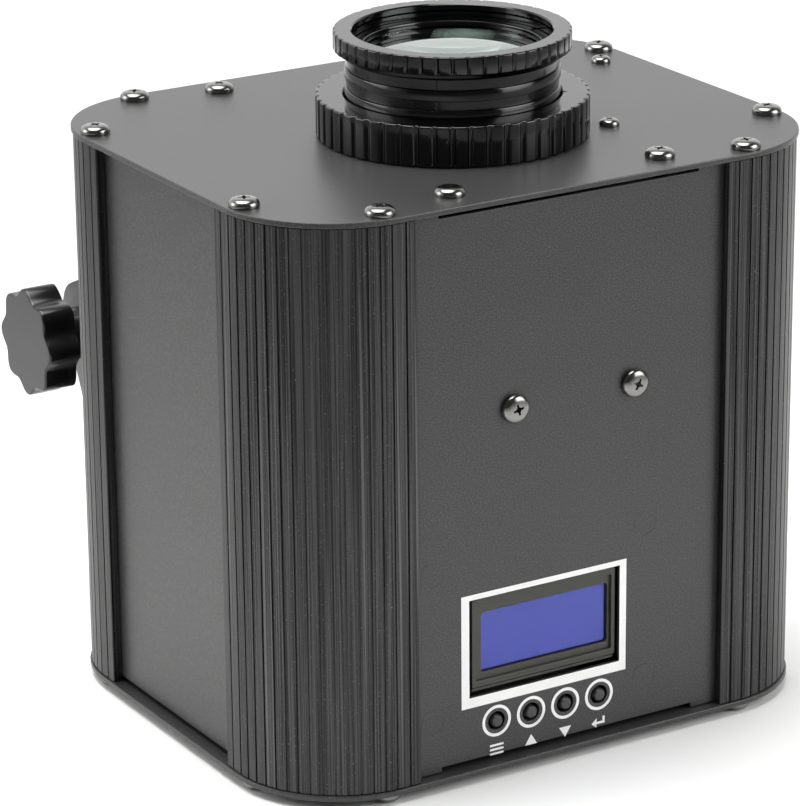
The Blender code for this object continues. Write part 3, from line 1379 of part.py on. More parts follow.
def display():
    """The display's stepped bezel in the panel's window, and the screen at its bottom."""
    x, z = [place + shift for place, shift in zip(WINDOW_CENTRE, BEZEL_SHIFT)]
    front = -PANEL_FACE_Y + BEZEL_RECESS
    back = DISPLAY_BOARD_Y - SEAT
    width, height = BEZEL_SIZE
    middle = (front + back) / 2
    olive = paint("dark_olive_bezel", (0.05, 0.05, 0.045), 0.5)
    at = (x, middle, z)
    bezel = add("display_bezel", box_mesh((width, back - front, height)), olive, at=at)
    step = box_mesh((BEZEL_STEP[0], BEZEL_STEP_DEPTH * 2, BEZEL_STEP[1]))
    boolean(bezel, [(step, place((0, front - middle, 0)))])
    screen_face = -PANEL_FACE_Y + SCREEN_RECESS
    floor = screen_face + SCREEN_THICKNESS + SEAT
    pocket = box_mesh((SCREEN_SIZE[0], floor - front + OVERRUN, SCREEN_SIZE[1]))
    across, up = SCREEN_SHIFT
    boolean(bezel, [(pocket, place((across, (front - OVERRUN + floor) / 2 - middle, up)))])
    size = (SCREEN_SIZE[0] - SEAT * 2, SCREEN_THICKNESS, SCREEN_SIZE[1] - SEAT * 2)
    blue = paint("blue_screen", (0.08, 0.1, 0.45), 0.25)
    at = (x + across, screen_face + SCREEN_THICKNESS / 2, z + up)
    add("display_screen", box_mesh(size), blue, at=at)


def buttons():
    """Four plungers that reach from their switches through the front panel."""
    face = -PANEL_FACE_Y - BUTTON_PROUD
    switch_face = DISPLAY_BOARD_Y - SWITCH_HEIGHT
    end = switch_face + SWITCH_WELL - BUTTON_TRAVEL - SEAT
    rod = rod_mesh(BUTTON_RADIUS, end - face, SMALL_STEPS)
    for name, x in zip(BUTTON_NAMES, button_places()):
        at = (x, (face + end) / 2, BUTTON_Z)
        smooth(add(name, rod, moulded_black(), at=at, turn=FACE_BACK))


def bend(centre, radius, start, steps=3):
    """Points round a quarter bend."""
    turns = [start + QUARTER * i / steps for i in range(steps + 1)]
    return [(centre[0] + radius * math.cos(a), centre[1] + radius * math.sin(a)) for a in turns]


def channel_outline(half_width, floor, end, radius):
    """A channel with round bends: its floor is at the low side, its arms rise to the end."""
    inner_radius = radius - STRIP_THICKNESS
    inner = half_width - STRIP_THICKNESS
    x, y = half_width - radius, floor + radius
    points = bend((-x, y), radius, math.pi) + bend((x, y), radius, -QUARTER)
    points += [(half_width, end), (inner, end)]
    points += bend((x, y), inner_radius, -QUARTER)[::-1]
    points += bend((-x, y), inner_radius, math.pi)[::-1]
    points += [(-inner, end), (-half_width, end)]
    return points


def ear_outline():
    """Side view of the hinge bracket: a tall base that tapers to a round ear."""
    base = PANEL_FACE_Y + SEAT
    half = BRACKET_HEIGHT / 2
    skirt = base + STRIP_THICKNESS + BRACKET_SKIRT
    dx, dz = PIVOT_Y - skirt, half
    away = math.hypot(dx, dz)
    lean = math.atan2(dz, dx) - math.asin(EAR_RADIUS / away)
    start = QUARTER - lean
    points = [(base - OVERRUN, PIVOT_Z - half), (skirt, PIVOT_Z - half)]
    for i in range(EAR_STEPS + 1):
        a = -start + 2 * start * i / EAR_STEPS
        y = PIVOT_Y + EAR_RADIUS * math.cos(a)
        points.append((y, PIVOT_Z + EAR_RADIUS * math.sin(a)))
    points += [(skirt, PIVOT_Z + half), (base - OVERRUN, PIVOT_Z + half)]
    return points


def hinge_bracket():
    """The bent bracket on the rear panel whose two ears carry the yoke."""
    base = PANEL_FACE_Y + SEAT
    end = PIVOT_Y + EAR_RADIUS + OVERRUN
    outline = channel_outline(EAR_OUTER, base, end, BRACKET_BEND)
    mesh = flat_mesh([outline], BRACKET_HEIGHT)
    bracket = add("hinge_bracket", mesh, powder_coat(), at=(0, 0, PIVOT_Z))
    side = flat_mesh([ear_outline()], (EAR_OUTER + OVERRUN) * 2)
    boolean(bracket, [(side, place((0, 0, -PIVOT_Z), FACE_SIDE))], "INTERSECT")
    sunk = STRIP_THICKNESS / 2
    nut = rod_mesh(NUT_RADIUS, sunk + NUT_THICKNESS, SPACER_STEPS)
    x = EAR_INNER + sunk - (sunk + NUT_THICKNESS) / 2
    nuts = [(nut, place((s * x, PIVOT_Y, 0), (0, QUARTER, 0))) for s in (-1, 1)]
    boolean(bracket, nuts, "UNION")
    pivot = rod_mesh(PIVOT_HOLE, (EAR_OUTER + OVERRUN) * 2, SMALL_STEPS)
    boolean(bracket, [(pivot, place((0, PIVOT_Y, 0), (0, QUARTER, 0)))])
    screw = m4_screw(-sunk)
    y = base + STRIP_THICKNESS
    places = bridge_screw_places([BRIDGE_SCREW_Z, lower_bracket_screw_z()])
    pieces = [(screw, place((v, y, z - PIVOT_Z), (-QUARTER, 0, 0))) for v, z in places]
    boolean(bracket, pieces, "UNION")


def yoke():
    """A strip bent to a U, which swings on the ears; its floor takes a clamp."""
    outline = channel_outline(YOKE_HALF_WIDTH, -YOKE_LENGTH, STRIP_END, YOKE_BEND)
    mesh = flat_mesh([outline], STRIP_WIDTH)
    turn = (QUARTER - YOKE_TILT, 0, 0)
    strap = add("yoke", mesh, powder_coat(), at=(0, PIVOT_Y, PIVOT_Z), turn=turn)
    pivot = rod_mesh(PIVOT_HOLE, (YOKE_HALF_WIDTH + OVERRUN) * 2, SMALL_STEPS)
    pieces = [(pivot, place((0, 0, 0), (0, QUARTER, 0)))]
    floor = -YOKE_LENGTH + STRIP_THICKNESS / 2
    length = STRIP_THICKNESS + OVERRUN
    clamp = rod_mesh(CLAMP_HOLE_RADIUS, length, SMALL_STEPS)
    pieces.append((clamp, place((0, floor, 0), (QUARTER, 0, 0))))
    side = rod_mesh(SIDE_HOLE_RADIUS, length, SMALL_STEPS)
    for x in (-SIDE_HOLE_X, SIDE_HOLE_X):
        pieces.append((side, place((x, floor, 0), (QUARTER, 0, 0))))
    boolean(strap, pieces)


def star_outline(radius):
    """The grip's outline: a circle whose radius rises and falls once a lobe."""
    points = []
    count = KNOB_LOBES * KNOB_POINTS_PER_LOBE
    for i in range(count):
        a = FULL * i / count
        r = radius - KNOB_LOBE_DEPTH * (1 - math.cos(KNOB_LOBES * a))
        points.append((r * math.cos(a), r * math.sin(a)))
    return points


def star_grip(radius):
    """The grip about its own centre along Z, with both rims chamfered."""
    wide = flat_mesh([star_outline(radius)], KNOB_GRIP)
    bm = bmesh.new()
    bm.from_mesh(wide)
    middle = KNOB_GRIP / 2 - KNOB_CHAMFER
    for side in (-1, 1):
        level = Vector((0, 0, side * middle))
        bmesh.ops.bisect_plane(
            bm, geom=bm.verts[:] + bm.edges[:] + bm.faces[:], plane_co=level, plane_no=(0, 0, 1)
        )
    share = 1 - KNOB_CHAMFER / radius
    rims = [v for v in bm.verts if abs(v.co.z) > middle + KNOB_CHAMFER / 2]
    for vert in rims:
        vert.co.x *= share
        vert.co.y *= share
    bm.to_mesh(wide)
    bm.free()
    return wide


def knobs():
    """A star knob on each side, moulded on the stud that clamps the yoke to an ear."""
    boss_end = YOKE_HALF_WIDTH + SEAT
    grip_start = boss_end + KNOB_BOSS
    middle = grip_start + KNOB_GRIP / 2
    stud_end = EAR_INNER - NUT_THICKNESS - STUD_BEYOND_NUT
    boss = rod_mesh(KNOB_BOSS_RADIUS, middle - boss_end, SMALL_STEPS)
    stud = rod_mesh(STUD_RADIUS, middle - stud_end, SMALL_STEPS)
    for name, side in (("left_knob", -1), ("right_knob", 1)):
        at = (side * middle, PIVOT_Y, PIVOT_Z)
        turn = (0, side * QUARTER, 0)
        knob = add(name, star_grip(KNOB_RADIUS), moulded_black(), at=at, turn=turn)
        boolean(knob, [(boss, place((0, 0, (boss_end - middle) / 2)))], "UNION")
        boolean(knob, [(stud, place((0, 0, (stud_end - middle) / 2)))], "UNION")
        smooth(knob)


def pivot_washers():
    """A friction washer between each arm of the yoke and its ear."""
    ring = [circle(WASHER_RADIUS, SMALL_STEPS), circle(PIVOT_HOLE, SMALL_STEPS)]
    washer = flat_mesh(ring, WASHER_THICKNESS)
    nylon = paint("black_nylon", (0.03, 0.03, 0.03), 0.6)
    x = EAR_OUTER + SEAT + WASHER_THICKNESS / 2
    for name, side in (("left_washer", -1), ("right_washer", 1)):
        add(name, washer, nylon, at=(side * x, PIVOT_Y, PIVOT_Z), turn=(0, QUARTER, 0))


def main():
    clear_scene()
    make_frame()
    top_plate()
    bottom_plate()
    corner_profiles()
    front_panel()
    rear_panel()
    side_panels()
    screws()
    lens_sleeve()
    sleeve_nut()
    focus_collar()
    lens_barrel()
    front_ring()
    lens()
    heat_sink()
    led_board()
    reflector()
    light_bridge()
    fan_frame()
    fan_rotor()
    power_sockets()
    data_sockets()
    data_latch()
    power_board()
    control_board()
    display_board()
    board_bracket()
    display()
    buttons()
    hinge_bracket()
    yoke()
    knobs()
    pivot_washers()


main()
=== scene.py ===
"""LED colour changer spotlight: the dressed model, built round its packed solids.

Housing sizes are in metres. The housing's own origin is the middle of the bottom plate's
lower face: X to the display's right, Y to the rear and Z the way the light goes.
"""

import math

import bmesh
import bpy
from bpy.props import FloatProperty, FloatVectorProperty, IntProperty, PointerProperty
from mathutils import Matrix, Vector


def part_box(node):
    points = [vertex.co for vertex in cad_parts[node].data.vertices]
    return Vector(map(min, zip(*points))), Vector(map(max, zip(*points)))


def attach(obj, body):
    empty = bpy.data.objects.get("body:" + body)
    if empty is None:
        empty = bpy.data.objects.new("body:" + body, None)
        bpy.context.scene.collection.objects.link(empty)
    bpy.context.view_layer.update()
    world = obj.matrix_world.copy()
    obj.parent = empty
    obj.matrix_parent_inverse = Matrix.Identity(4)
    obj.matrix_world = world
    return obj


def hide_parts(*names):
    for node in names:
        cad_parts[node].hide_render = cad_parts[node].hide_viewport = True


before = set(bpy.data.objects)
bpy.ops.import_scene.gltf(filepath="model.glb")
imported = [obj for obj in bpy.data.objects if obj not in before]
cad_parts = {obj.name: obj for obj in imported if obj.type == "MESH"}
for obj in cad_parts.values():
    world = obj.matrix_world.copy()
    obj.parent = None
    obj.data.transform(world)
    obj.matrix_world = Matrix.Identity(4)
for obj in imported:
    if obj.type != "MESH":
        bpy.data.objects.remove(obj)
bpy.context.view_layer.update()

bl_info = {
    "name": "Colour changer spotlight",
    "version": (1, 0, 0),
    "blender": (4, 5, 0),
    "location": "View3D > Sidebar > Spotlight",
    "description": "Dresses the packed spotlight with its finished pieces and materials",
    "category": "Object",
}

MM = 0.001
QUARTER = math.pi / 2
FULL = math.pi * 2


def linear(code):
    """An sRGB hex colour as linear red, green and blue."""
    parts = [int(code[i : i + 2], 16) / 255 for i in (1, 3, 5)]
    return [c / 12.92 if c <= 0.04045 else ((c + 0.055) / 1.055) ** 2.4 for c in parts]


# Sizes from the frame, and sizes that several pieces share

TOP_LOW, TOP_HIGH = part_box("top_plate")
PLATE = TOP_HIGH.z - TOP_LOW.z
CASE_WIDTH = TOP_HIGH.x - TOP_LOW.x
CASE_DEPTH = TOP_HIGH.y - TOP_LOW.y
SCREW_HEAD = 2.4 * MM
CASE_HEIGHT = TOP_HIGH.z - SCREW_HEAD
# The housing's origin in the world
HOUSE = Vector((0, (TOP_LOW.y + TOP_HIGH.y) / 2, SCREW_HEAD))
# Clearance between pieces that are put together
GAP = 0.3 * MM
# Lower and upper ends of the profiles and the panels
WALL_LOW, WALL_HIGH = PLATE + GAP, CASE_HEIGHT - PLATE - GAP
# Radius of the lens sleeve where it stands in the top plate
SLEEVE = 31.55 * MM
# Turns a flat shape upright, with its Z to the front or to the rear
TO_FRONT = Matrix.Rotation(QUARTER, 4, "X")
TO_REAR = Matrix.Rotation(math.pi, 4, "Z") @ TO_FRONT


def colour_prop(name, description, code):
    """A colour that a user can change."""
    return FloatVectorProperty(
        name=name, description=description, subtype="COLOR", size=3, min=0, max=1, default=linear(code)
    )


def length_prop(name, description, default):
    """A length that a user can change."""
    return FloatProperty(name=name, description=description, unit="LENGTH", min=0, default=default)


def power_prop(name, description, default):
    """A lamp's power that a user can change."""
    return FloatProperty(name=name, description=description, unit="POWER", min=0, default=default)


class SpotlightCase(bpy.types.PropertyGroup):
    """Sizes and colours of the housing."""

    corner: length_prop("Corner radius", "Radius of the plates' corners", 32 * MM)
    overhang: length_prop("Overhang", "How far the plates stand over the profiles", 0.5 * MM)
    edge: length_prop("Plate edge", "Softening of the cut sheet's edges", 0.25 * MM)
    straight: length_prop("Profile arm", "Straight length beside each round corner", 5.6 * MM)
    wall: length_prop("Profile wall", "Wall of the corner profiles", 2.5 * MM)
    groove_pitch: length_prop("Groove pitch", "Distance between the profiles' grooves", 3.3 * MM)
    groove_end: length_prop("End groove pitch", "Distance from the last groove to the one before", 4 * MM)
    groove_width: length_prop("Groove width", "Width of each groove", 0.5 * MM)
    groove_depth: length_prop("Groove depth", "Depth of each groove", 0.45 * MM)
    recess: length_prop("Panel recess", "How far the panels lie behind the profiles", 2.7 * MM)
    panel: length_prop("Panel sheet", "Thickness of the panels' sheet", 1.2 * MM)
    coat: colour_prop("Powder coat", "Colour of the coated steel sheet", "#2c2c2c")
    speck: colour_prop("Coat specks", "Colour of the coat's light grains", "#585858")
    metal: colour_prop("Profile metal", "Colour of the black anodised aluminium", "#3e3e3e")
    plating: colour_prop("Screw plating", "Colour of the bright screws", "#868583")


class SpotlightOptics(bpy.types.PropertyGroup):
    """Sizes and colours of the lens tube and its rings."""

    axis_y: length_prop("Axis", "Distance of the lens axis before the middle", 10 * MM)
    barrel: length_prop("Barrel radius", "Outer radius of the sliding barrel", 28.2 * MM)
    bore: length_prop("Barrel bore", "Inner radius of the sliding barrel", 25.5 * MM)
    collar: length_prop("Collar radius", "Outer radius of the focus collar", 36.3 * MM)
    ring: length_prop("Ring radius", "Outer radius of the front ring", 31.5 * MM)
    lens: length_prop("Lens radius", "Radius of the front lens", 26.2 * MM)
    ribs: IntProperty(name="Ribs", description="Grip ribs on each ring", min=12, max=96, default=48)
    rib_depth: length_prop("Rib depth", "Depth of the grooves between ribs", 0.65 * MM)
    plastic: colour_prop("Gloss plastic", "Colour of the moulded rings", "#040405")
    glass: colour_prop("Glass", "Tint of the coated lens", "#e6ecea")


class SpotlightDisplay(bpy.types.PropertyGroup):
    """Sizes and colours of the display, the buttons and the print round them."""

    centre_x: length_prop("Centre", "Distance of the window left of the middle", 7.5 * MM)
    centre_z: length_prop("Height", "Height of the window's centre", 34.4 * MM)
    width: length_prop("Window width", "Width of the panel's window", 46.9 * MM)
    height: length_prop("Window height", "Height of the panel's window", 27.3 * MM)
    frame_x: length_prop("Frame centre", "Distance of the frame's centre left of the middle", 7.3 * MM)
    frame_z: length_prop("Frame height", "Height of the frame's centre", 35.2 * MM)
    button_pitch: length_prop("Button pitch", "Distance between buttons", 10.75 * MM)
    button_z: length_prop("Button height", "Height of the row of buttons", 12.5 * MM)
    ring: length_prop("Ring radius", "Outer radius of the printed rings", 4.45 * MM)
    line: length_prop("Ring line", "Width of the printed rings", 0.85 * MM)
    print: colour_prop("Print", "Colour of the screen print", "#efefee")
    bezel: colour_prop("Bezel", "Colour of the display's frame", "#35352f")
    screen: colour_prop("Screen", "Colour of the resting display", "#2c3aa2")
    button: colour_prop("Buttons", "Colour of the buttons", "#3a3a3b")


class SpotlightMount(bpy.types.PropertyGroup):
    """Sizes and colours of the yoke, its bracket and the knobs."""

    strip: length_prop("Strip", "Thickness of the yoke's and the bracket's strip", 3 * MM)
    half_width: length_prop("Yoke half width", "Half the width of the yoke", 49.4 * MM)
    reach: length_prop("Yoke length", "From the pivot to the yoke's floor", 60 * MM)
    width: length_prop("Yoke strip width", "Width of the yoke's strip", 30 * MM)
    end: length_prop("Yoke end", "From the pivot to the end of the arms", 15 * MM)
    tilt: FloatProperty(
        name="Tilt", description="Rest angle of the yoke", subtype="ANGLE", default=math.radians(24.5)
    )
    pivot_reach: length_prop("Pivot reach", "From the case's rear to the pivot", 40 * MM)
    pivot_z: length_prop("Pivot height", "Height of the pivot", 76 * MM)
    knob: length_prop("Knob radius", "Radius of the star grip", 16 * MM)
    lobes: IntProperty(name="Lobes", description="Lobes of the star grip", min=5, max=12, default=8)
    lobe_depth: length_prop("Lobe depth", "Half the depth between two lobes", 1.1 * MM)
    plastic: colour_prop("Knob plastic", "Colour of the moulded grips", "#101012")


class SpotlightStage(bpy.types.PropertyGroup):
    """The floor, the light and the view."""

    floor: colour_prop("Floor", "Colour of the studio floor", "#f4f4f3")
    key: power_prop("Top light", "Power of the top softbox", 2.6)
    side: power_prop("Side light", "Power of the left softbox", 0.52)
    fill: power_prop("Front light", "Power of the right front softbox", 0.8)
    rear: power_prop("Floor light", "Power of the softboxes over the floor", 2.2)
    ambient: FloatProperty(name="Ambient", description="Strength of the room's light", min=0, default=1.3)


GROUPS = {
    "spotlight_case": SpotlightCase,
    "spotlight_optics": SpotlightOptics,
    "spotlight_display": SpotlightDisplay,
    "spotlight_mount": SpotlightMount,
    "spotlight_stage": SpotlightStage,
}


# Materials


def node(tree, kind, values=None, links=None, **settings):
    """Adds a node with its settings, its socket values and its links."""
    made = tree.nodes.new(kind)
    for key, value in settings.items():
        setattr(made, key, value)
    for key, value in (values or {}).items():
        made.inputs[key].default_value = value
    for key, source in (links or {}).items():
        tree.links.new(source, made.inputs[key])
    return made


def surface(name, roughness, metallic=0.0, **uniform):
    """A new material with its uniform values set on the shader, and its tree and shader."""
    made = bpy.data.materials.new(name)
    made.use_nodes = True
    shader = made.node_tree.nodes["Principled BSDF"]
    shader.inputs["Roughness"].default_value = roughness
    shader.inputs["Metallic"].default_value = metallic
    for key, value in uniform.items():
        shader.inputs[key.replace("_", " ")].default_value = value
    return made, made.node_tree, shader


def rgba(colour, share=1.0):
    """A colour, lightened or darkened by a share, with its alpha."""
    return (*[min(1.0, c * share) for c in colour], 1)


def textured(tree, shader, shine, relief, smooth, rough, strength, depth):
    """Lets one pattern vary the roughness between two values, and another raise the surface."""
    gloss = node(
        tree,
        "ShaderNodeMapRange",
        {"From Min": 0.3, "From Max": 0.7, "To Min": smooth, "To Max": rough},
        {"Value": shine.outputs["Fac"]},
    )
    tree.links.new(gloss.outputs[0], shader.inputs["Roughness"])
    bump = node(
        tree, "ShaderNodeBump", {"Strength": strength, "Distance": depth}, {"Height": relief.outputs["Fac"]}
    )
    tree.links.new(bump.outputs[0], shader.inputs["Normal"])


def overlaid(tree, under, colour, pattern, start, full, share):
    """A colour laid over another where a pattern rises from its start to its full value."""
    amount = node(
        tree,
        "ShaderNodeMapRange",
        {"From Min": start, "From Max": full, "To Min": 0.0, "To Max": share},
        {"Value": pattern.outputs["Fac"]},
    )
    return node(
        tree,
        "ShaderNodeMix",
        {7: colour},
        {0: amount.outputs[0], 6: under.outputs[2]},
        data_type="RGBA",
    )


def powder_coated_steel(colour, speck):
    """Sheet steel, black polyester powder baked on: a soft sheen, fine orange peel and grey grains."""
    made, tree, shader = surface("black_powder_coated_steel", roughness=0.34, IOR=1.5)
    where = node(tree, "ShaderNodeTexCoord").outputs["Object"]
    # The real grain of 0.15 mm is finer than the picture's pixels, so it is drawn coarser
    grain_size, cloud_size = 0.4 * MM, 24 * MM
    pattern = {"Scale": 1 / grain_size, "Detail": 2.0, "Roughness": 0.6}
    grain = node(tree, "ShaderNodeTexNoise", pattern, {"Vector": where})
    # The powder lies a little thicker in wide clouds
    cloud = node(tree, "ShaderNodeTexNoise", {"Scale": 1 / cloud_size, "Detail": 3.0}, {"Vector": where})
    body = node(
        tree,
        "ShaderNodeMix",
        {6: rgba(colour, 0.9), 7: rgba(colour, 1.1)},
        {0: cloud.outputs["Fac"]},
        data_type="RGBA",
    )
    paint = overlaid(tree, body, rgba(speck), grain, start=0.46, full=0.82, share=1.0)
    tree.links.new(paint.outputs[2], shader.inputs["Base Color"])
    textured(tree, shader, grain, grain, smooth=0.3, rough=0.4, strength=0.25, depth=0.03 * MM)
    return made


def extruded_aluminium(colour):
    """Aluminium extrusion, black anodised: the die leaves long fine lines that run its length."""
    made, tree, shader = surface("black_anodised_extruded_aluminium", roughness=0.38, metallic=0.88)
    where = node(tree, "ShaderNodeTexCoord").outputs["Object"]
    line_width, line_length = 0.4 * MM, 90 * MM
    line = node(tree, "ShaderNodeMapping", {"Scale": (1, 1, line_width / line_length)}, {"Vector": where})
    pattern = {"Scale": 1 / line_width, "Detail": 2.0, "Roughness": 0.6}
    fine = node(tree, "ShaderNodeTexNoise", pattern, {"Vector": line.outputs[0]})
    tone = node(
        tree,
        "ShaderNodeMapRange",
        {"From Min": 0.36, "From Max": 0.64, "To Min": 0.0, "To Max": 1.0},
        {"Value": fine.outputs["Fac"]},
    )
    line_tone = node(
        tree,
        "ShaderNodeMix",
        {6: rgba(colour, 0.4), 7: rgba(colour, 1.7)},
        {0: tone.outputs[0]},
        data_type="RGBA",
    )
    # Bright scratches along the die, as wide as their blurred edges
    scratch_width = 0.8 * MM
    pattern = {"Scale": 1 / scratch_width, "Detail": 0.0}
    drag = node(tree, "ShaderNodeTexNoise", pattern, {"Vector": line.outputs[0]})
    body = overlaid(tree, line_tone, rgba(colour, 3.0), drag, start=0.72, full=0.78, share=0.7)
    # Bright specks where the oxide is thin
    speck_size = 0.5 * MM
    speck = node(tree, "ShaderNodeTexNoise", {"Scale": 1 / speck_size, "Detail": 1.0}, {"Vector": where})
    paint = overlaid(tree, body, rgba(colour, 3.0), speck, start=0.66, full=0.76, share=0.8)
    tree.links.new(paint.outputs[2], shader.inputs["Base Color"])
    textured(tree, shader, fine, fine, smooth=0.32, rough=0.46, strength=0.2, depth=0.03 * MM)
    return made


def grained(name, colour, roughness, grain, depth=0.01 * MM, spread=0.15, metallic=0.0, **uniform):
    """A moulded, cast or cut surface: its grain shifts the colour, the gloss and the height a little."""
    made, tree, shader = surface(name, roughness, metallic, **uniform)
    where = node(tree, "ShaderNodeTexCoord").outputs["Object"]
    # Clouds are this many grains wide
    cloud = 14
    fine = node(tree, "ShaderNodeTexNoise", {"Scale": 1 / grain, "Detail": 2.0}, {"Vector": where})
    wide = node(tree, "ShaderNodeTexNoise", {"Scale": 1 / (grain * cloud), "Detail": 3.0}, {"Vector": where})
    body = node(
        tree,
        "ShaderNodeMix",
        {6: rgba(colour, 1 - spread), 7: rgba(colour, 1 + spread)},
        {0: wide.outputs["Fac"]},
        data_type="RGBA",
    )
    tree.links.new(body.outputs[2], shader.inputs["Base Color"])
    smooth, rough = roughness * 0.85, roughness * 1.15
    textured(tree, shader, wide, fine, smooth, rough, strength=0.3, depth=depth)
    return made


def circuit_laminate(name, mask, copper):
    """Glass fibre board under its solder mask: thin tracks show as lighter lines."""
    made, tree, shader = surface(name, roughness=0.35, IOR=1.5)
    where = node(tree, "ShaderNodeTexCoord").outputs["Object"]
    track_pitch = 2.5 * MM
    track = node(
        tree,
        "ShaderNodeTexVoronoi",
        {"Scale": 1 / track_pitch, "Randomness": 0.6},
        {"Vector": where},
        feature="DISTANCE_TO_EDGE",
        distance="EUCLIDEAN",
    )
    share = node(
        tree,
        "ShaderNodeMapRange",
        {"From Min": 0.05, "From Max": 0.09, "To Min": 1.0, "To Max": 0.0},
        {"Value": track.outputs["Distance"]},
    )
    paint = node(
        tree,
        "ShaderNodeMix",
        {6: rgba(linear(mask)), 7: rgba(linear(copper))},
        {0: share.outputs[0]},
        data_type="RGBA",
    )
    tree.links.new(paint.outputs[2], shader.inputs["Base Color"])
    return made


def coated_glass(colour):
    """Polished optical glass with a thin green coating: clear, with a pale green reflection."""
    clear = {"Transmission_Weight": 1.0, "Coat_Weight": 1.0, "Coat_Roughness": 0.03}
    made, tree, shader = surface("coated_optical_glass", roughness=0.02, IOR=1.62, **clear)
    shader.inputs["Coat Tint"].default_value = rgba(linear("#eaf3ef"))
    where = node(tree, "ShaderNodeTexCoord").outputs["Object"]
    dust_size = 9 * MM
    dust = node(tree, "ShaderNodeTexNoise", {"Scale": 1 / dust_size, "Detail": 4.0}, {"Vector": where})
    body = node(
        tree,
        "ShaderNodeMix",
        {6: rgba(colour, 0.94), 7: rgba(colour)},
        {0: dust.outputs["Fac"]},
        data_type="RGBA",
    )
    tree.links.new(body.outputs[2], shader.inputs["Base Color"])
    return made


MADE = {}


def finish(key):
    """The material of a finish, made the first time it is asked for."""
    if key not in MADE:
        scene = bpy.context.scene
        case, optics = scene.spotlight_case, scene.spotlight_optics
        panel, mount = scene.spotlight_display, scene.spotlight_mount
        makers = {
            "coat": lambda: powder_coated_steel(case.coat, case.speck),
            "profile": lambda: extruded_aluminium(case.metal),
            # Nickel on steel, barrel plated: bright with soft tumbling marks
            "plating": lambda: grained(
                "nickel_plated_steel", case.plating, roughness=0.19, grain=0.6 * MM, spread=0.1, metallic=1.0
            ),
            # Polished mould: deep black with sharp highlights
            "gloss": lambda: grained(
                "gloss_black_abs", optics.plastic, roughness=0.13, grain=1.2 * MM, spread=0.2, IOR=1.54
            ),
            # Smooth mould: near black with soft edged highlights and a faint grain
            "knob": lambda: grained(
                "smooth_black_polyamide", mount.plastic, roughness=0.2, grain=0.5 * MM, IOR=1.53
            ),
            "glass": lambda: coated_glass(optics.glass),
            # Screen printed ink: flat and slightly dusty
            "print": lambda: grained(
                "white_screen_print", panel.print, roughness=0.55, grain=0.3 * MM, spread=0.04
            ),
            # Eroded mould: a dull olive grain
            "bezel": lambda: grained(
                "olive_moulded_abs", panel.bezel, roughness=0.42, grain=0.4 * MM, depth=0.02 * MM, spread=0.12
            ),
            # Polarising film under glass: even and glossy
            "screen": lambda: grained(
                "blue_lcd_film",
                panel.screen,
                roughness=0.16,
                grain=30 * MM,
                depth=0.001 * MM,
                spread=0.1,
                Coat_Weight=0.25,
            ),
            # Moulded caps, rubbed by fingers: dark with a mild gloss
            "button": lambda: grained("black_button_resin", panel.button, roughness=0.32, grain=0.4 * MM),
            # Mill finish, cut and finned: bright with soft clouds
            "aluminium": lambda: grained(
                "mill_finish_aluminium",
                linear("#b9babc"),
                roughness=0.34,
                grain=0.8 * MM,
                depth=0.02 * MM,
                spread=0.12,
                metallic=1.0,
            ),
            # Metal vapour on polished plastic: a mirror with hardly a grain
            "reflector": lambda: grained(
                "vacuum_metallised_reflector",
                linear("#e6e6e8"),
                roughness=0.08,
                grain=2 * MM,
                spread=0.05,
                metallic=1.0,
            ),
            # White solder mask: flat and even
            "led": lambda: grained(
                "white_led_laminate", linear("#dedcd2"), roughness=0.45, grain=0.5 * MM, spread=0.06
            ),
            # Moulded blades: dark and dull with a fine grain
            "fan": lambda: grained(
                "black_fan_pbt", linear("#19191a"), roughness=0.42, grain=0.6 * MM, depth=0.02 * MM
            ),
            # Moulded sockets: dull, and a little lighter than the fan
            "socket": lambda: grained(
                "black_socket_polyamide", linear("#1b1b1c"), roughness=0.45, grain=0.5 * MM, depth=0.02 * MM
            ),
            # Moulded washers: flat and almost black
            "nylon": lambda: grained(
                "black_nylon", linear("#1e1e1f"), roughness=0.5, grain=0.5 * MM, depth=0.02 * MM
            ),
            # Solder mask over copper: glossy, with lighter tracks
            "board": lambda: circuit_laminate("green_circuit_laminate", "#123d26", "#2c6a40"),
            # The display's board is painted near black: painted shade for the dark gap under the display's
            # window
            "painted_shade_board": lambda: circuit_laminate("painted_shade_circuit_laminate", "#0a0a0a", "#161616"),
        }
        MADE[key] = makers[key]()
    return MADE[key]


# Shapes

# Points closer than this are one point
WELD = 0.001 * MM
# Signs of X and Y in each quarter turn
QUADRANTS = ((1, 1), (-1, 1), (-1, -1), (1, -1))


def piece(name, mesh, key, body, replaced=(), turn=None, sharp=30, at=(0, 0, 0)):
    """A finished piece in the housing's frame: shaded, painted, riding on its body."""
    mesh.name = name
    mesh.materials.clear()
    mesh.materials.append(finish(key))
    mesh.shade_smooth()
    mesh.set_sharp_from_angle(angle=math.radians(sharp))
    item = bpy.data.objects.new(name, mesh)
    bpy.context.scene.collection.objects.link(item)
    item.matrix_world = Matrix.Translation(HOUSE + Vector(at)) @ (turn or Matrix.Identity(4))
    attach(item, body)
    if replaced:
        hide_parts(*replaced)


def carry(key, *nodes, edge=0.0):
    """Gives packed nodes their finish, and softens their edges where asked."""
    for name in nodes:
        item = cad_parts[name]
        item.data.materials.clear()
        item.data.materials.append(finish(key))
        if edge:
            bevelled(item, edge, angle=40)
        step = item.modifiers.new("sharp", "EDGE_SPLIT")
        step.split_angle = math.radians(25)
        item.data.shade_smooth()


def bevelled(item, width, angle):
    """Softens an object's edges that turn by more than an angle."""
    step = item.modifiers.new("edge", "BEVEL")
    step.width = width
    step.segments = 2
    step.limit_method = "ANGLE"
    step.angle_limit = math.radians(angle)


def draft(data):
    """A passing object that carries a shape while Blender evaluates it."""
    item = bpy.data.objects.new("draft", data)
    bpy.context.scene.collection.objects.link(item)
    return item


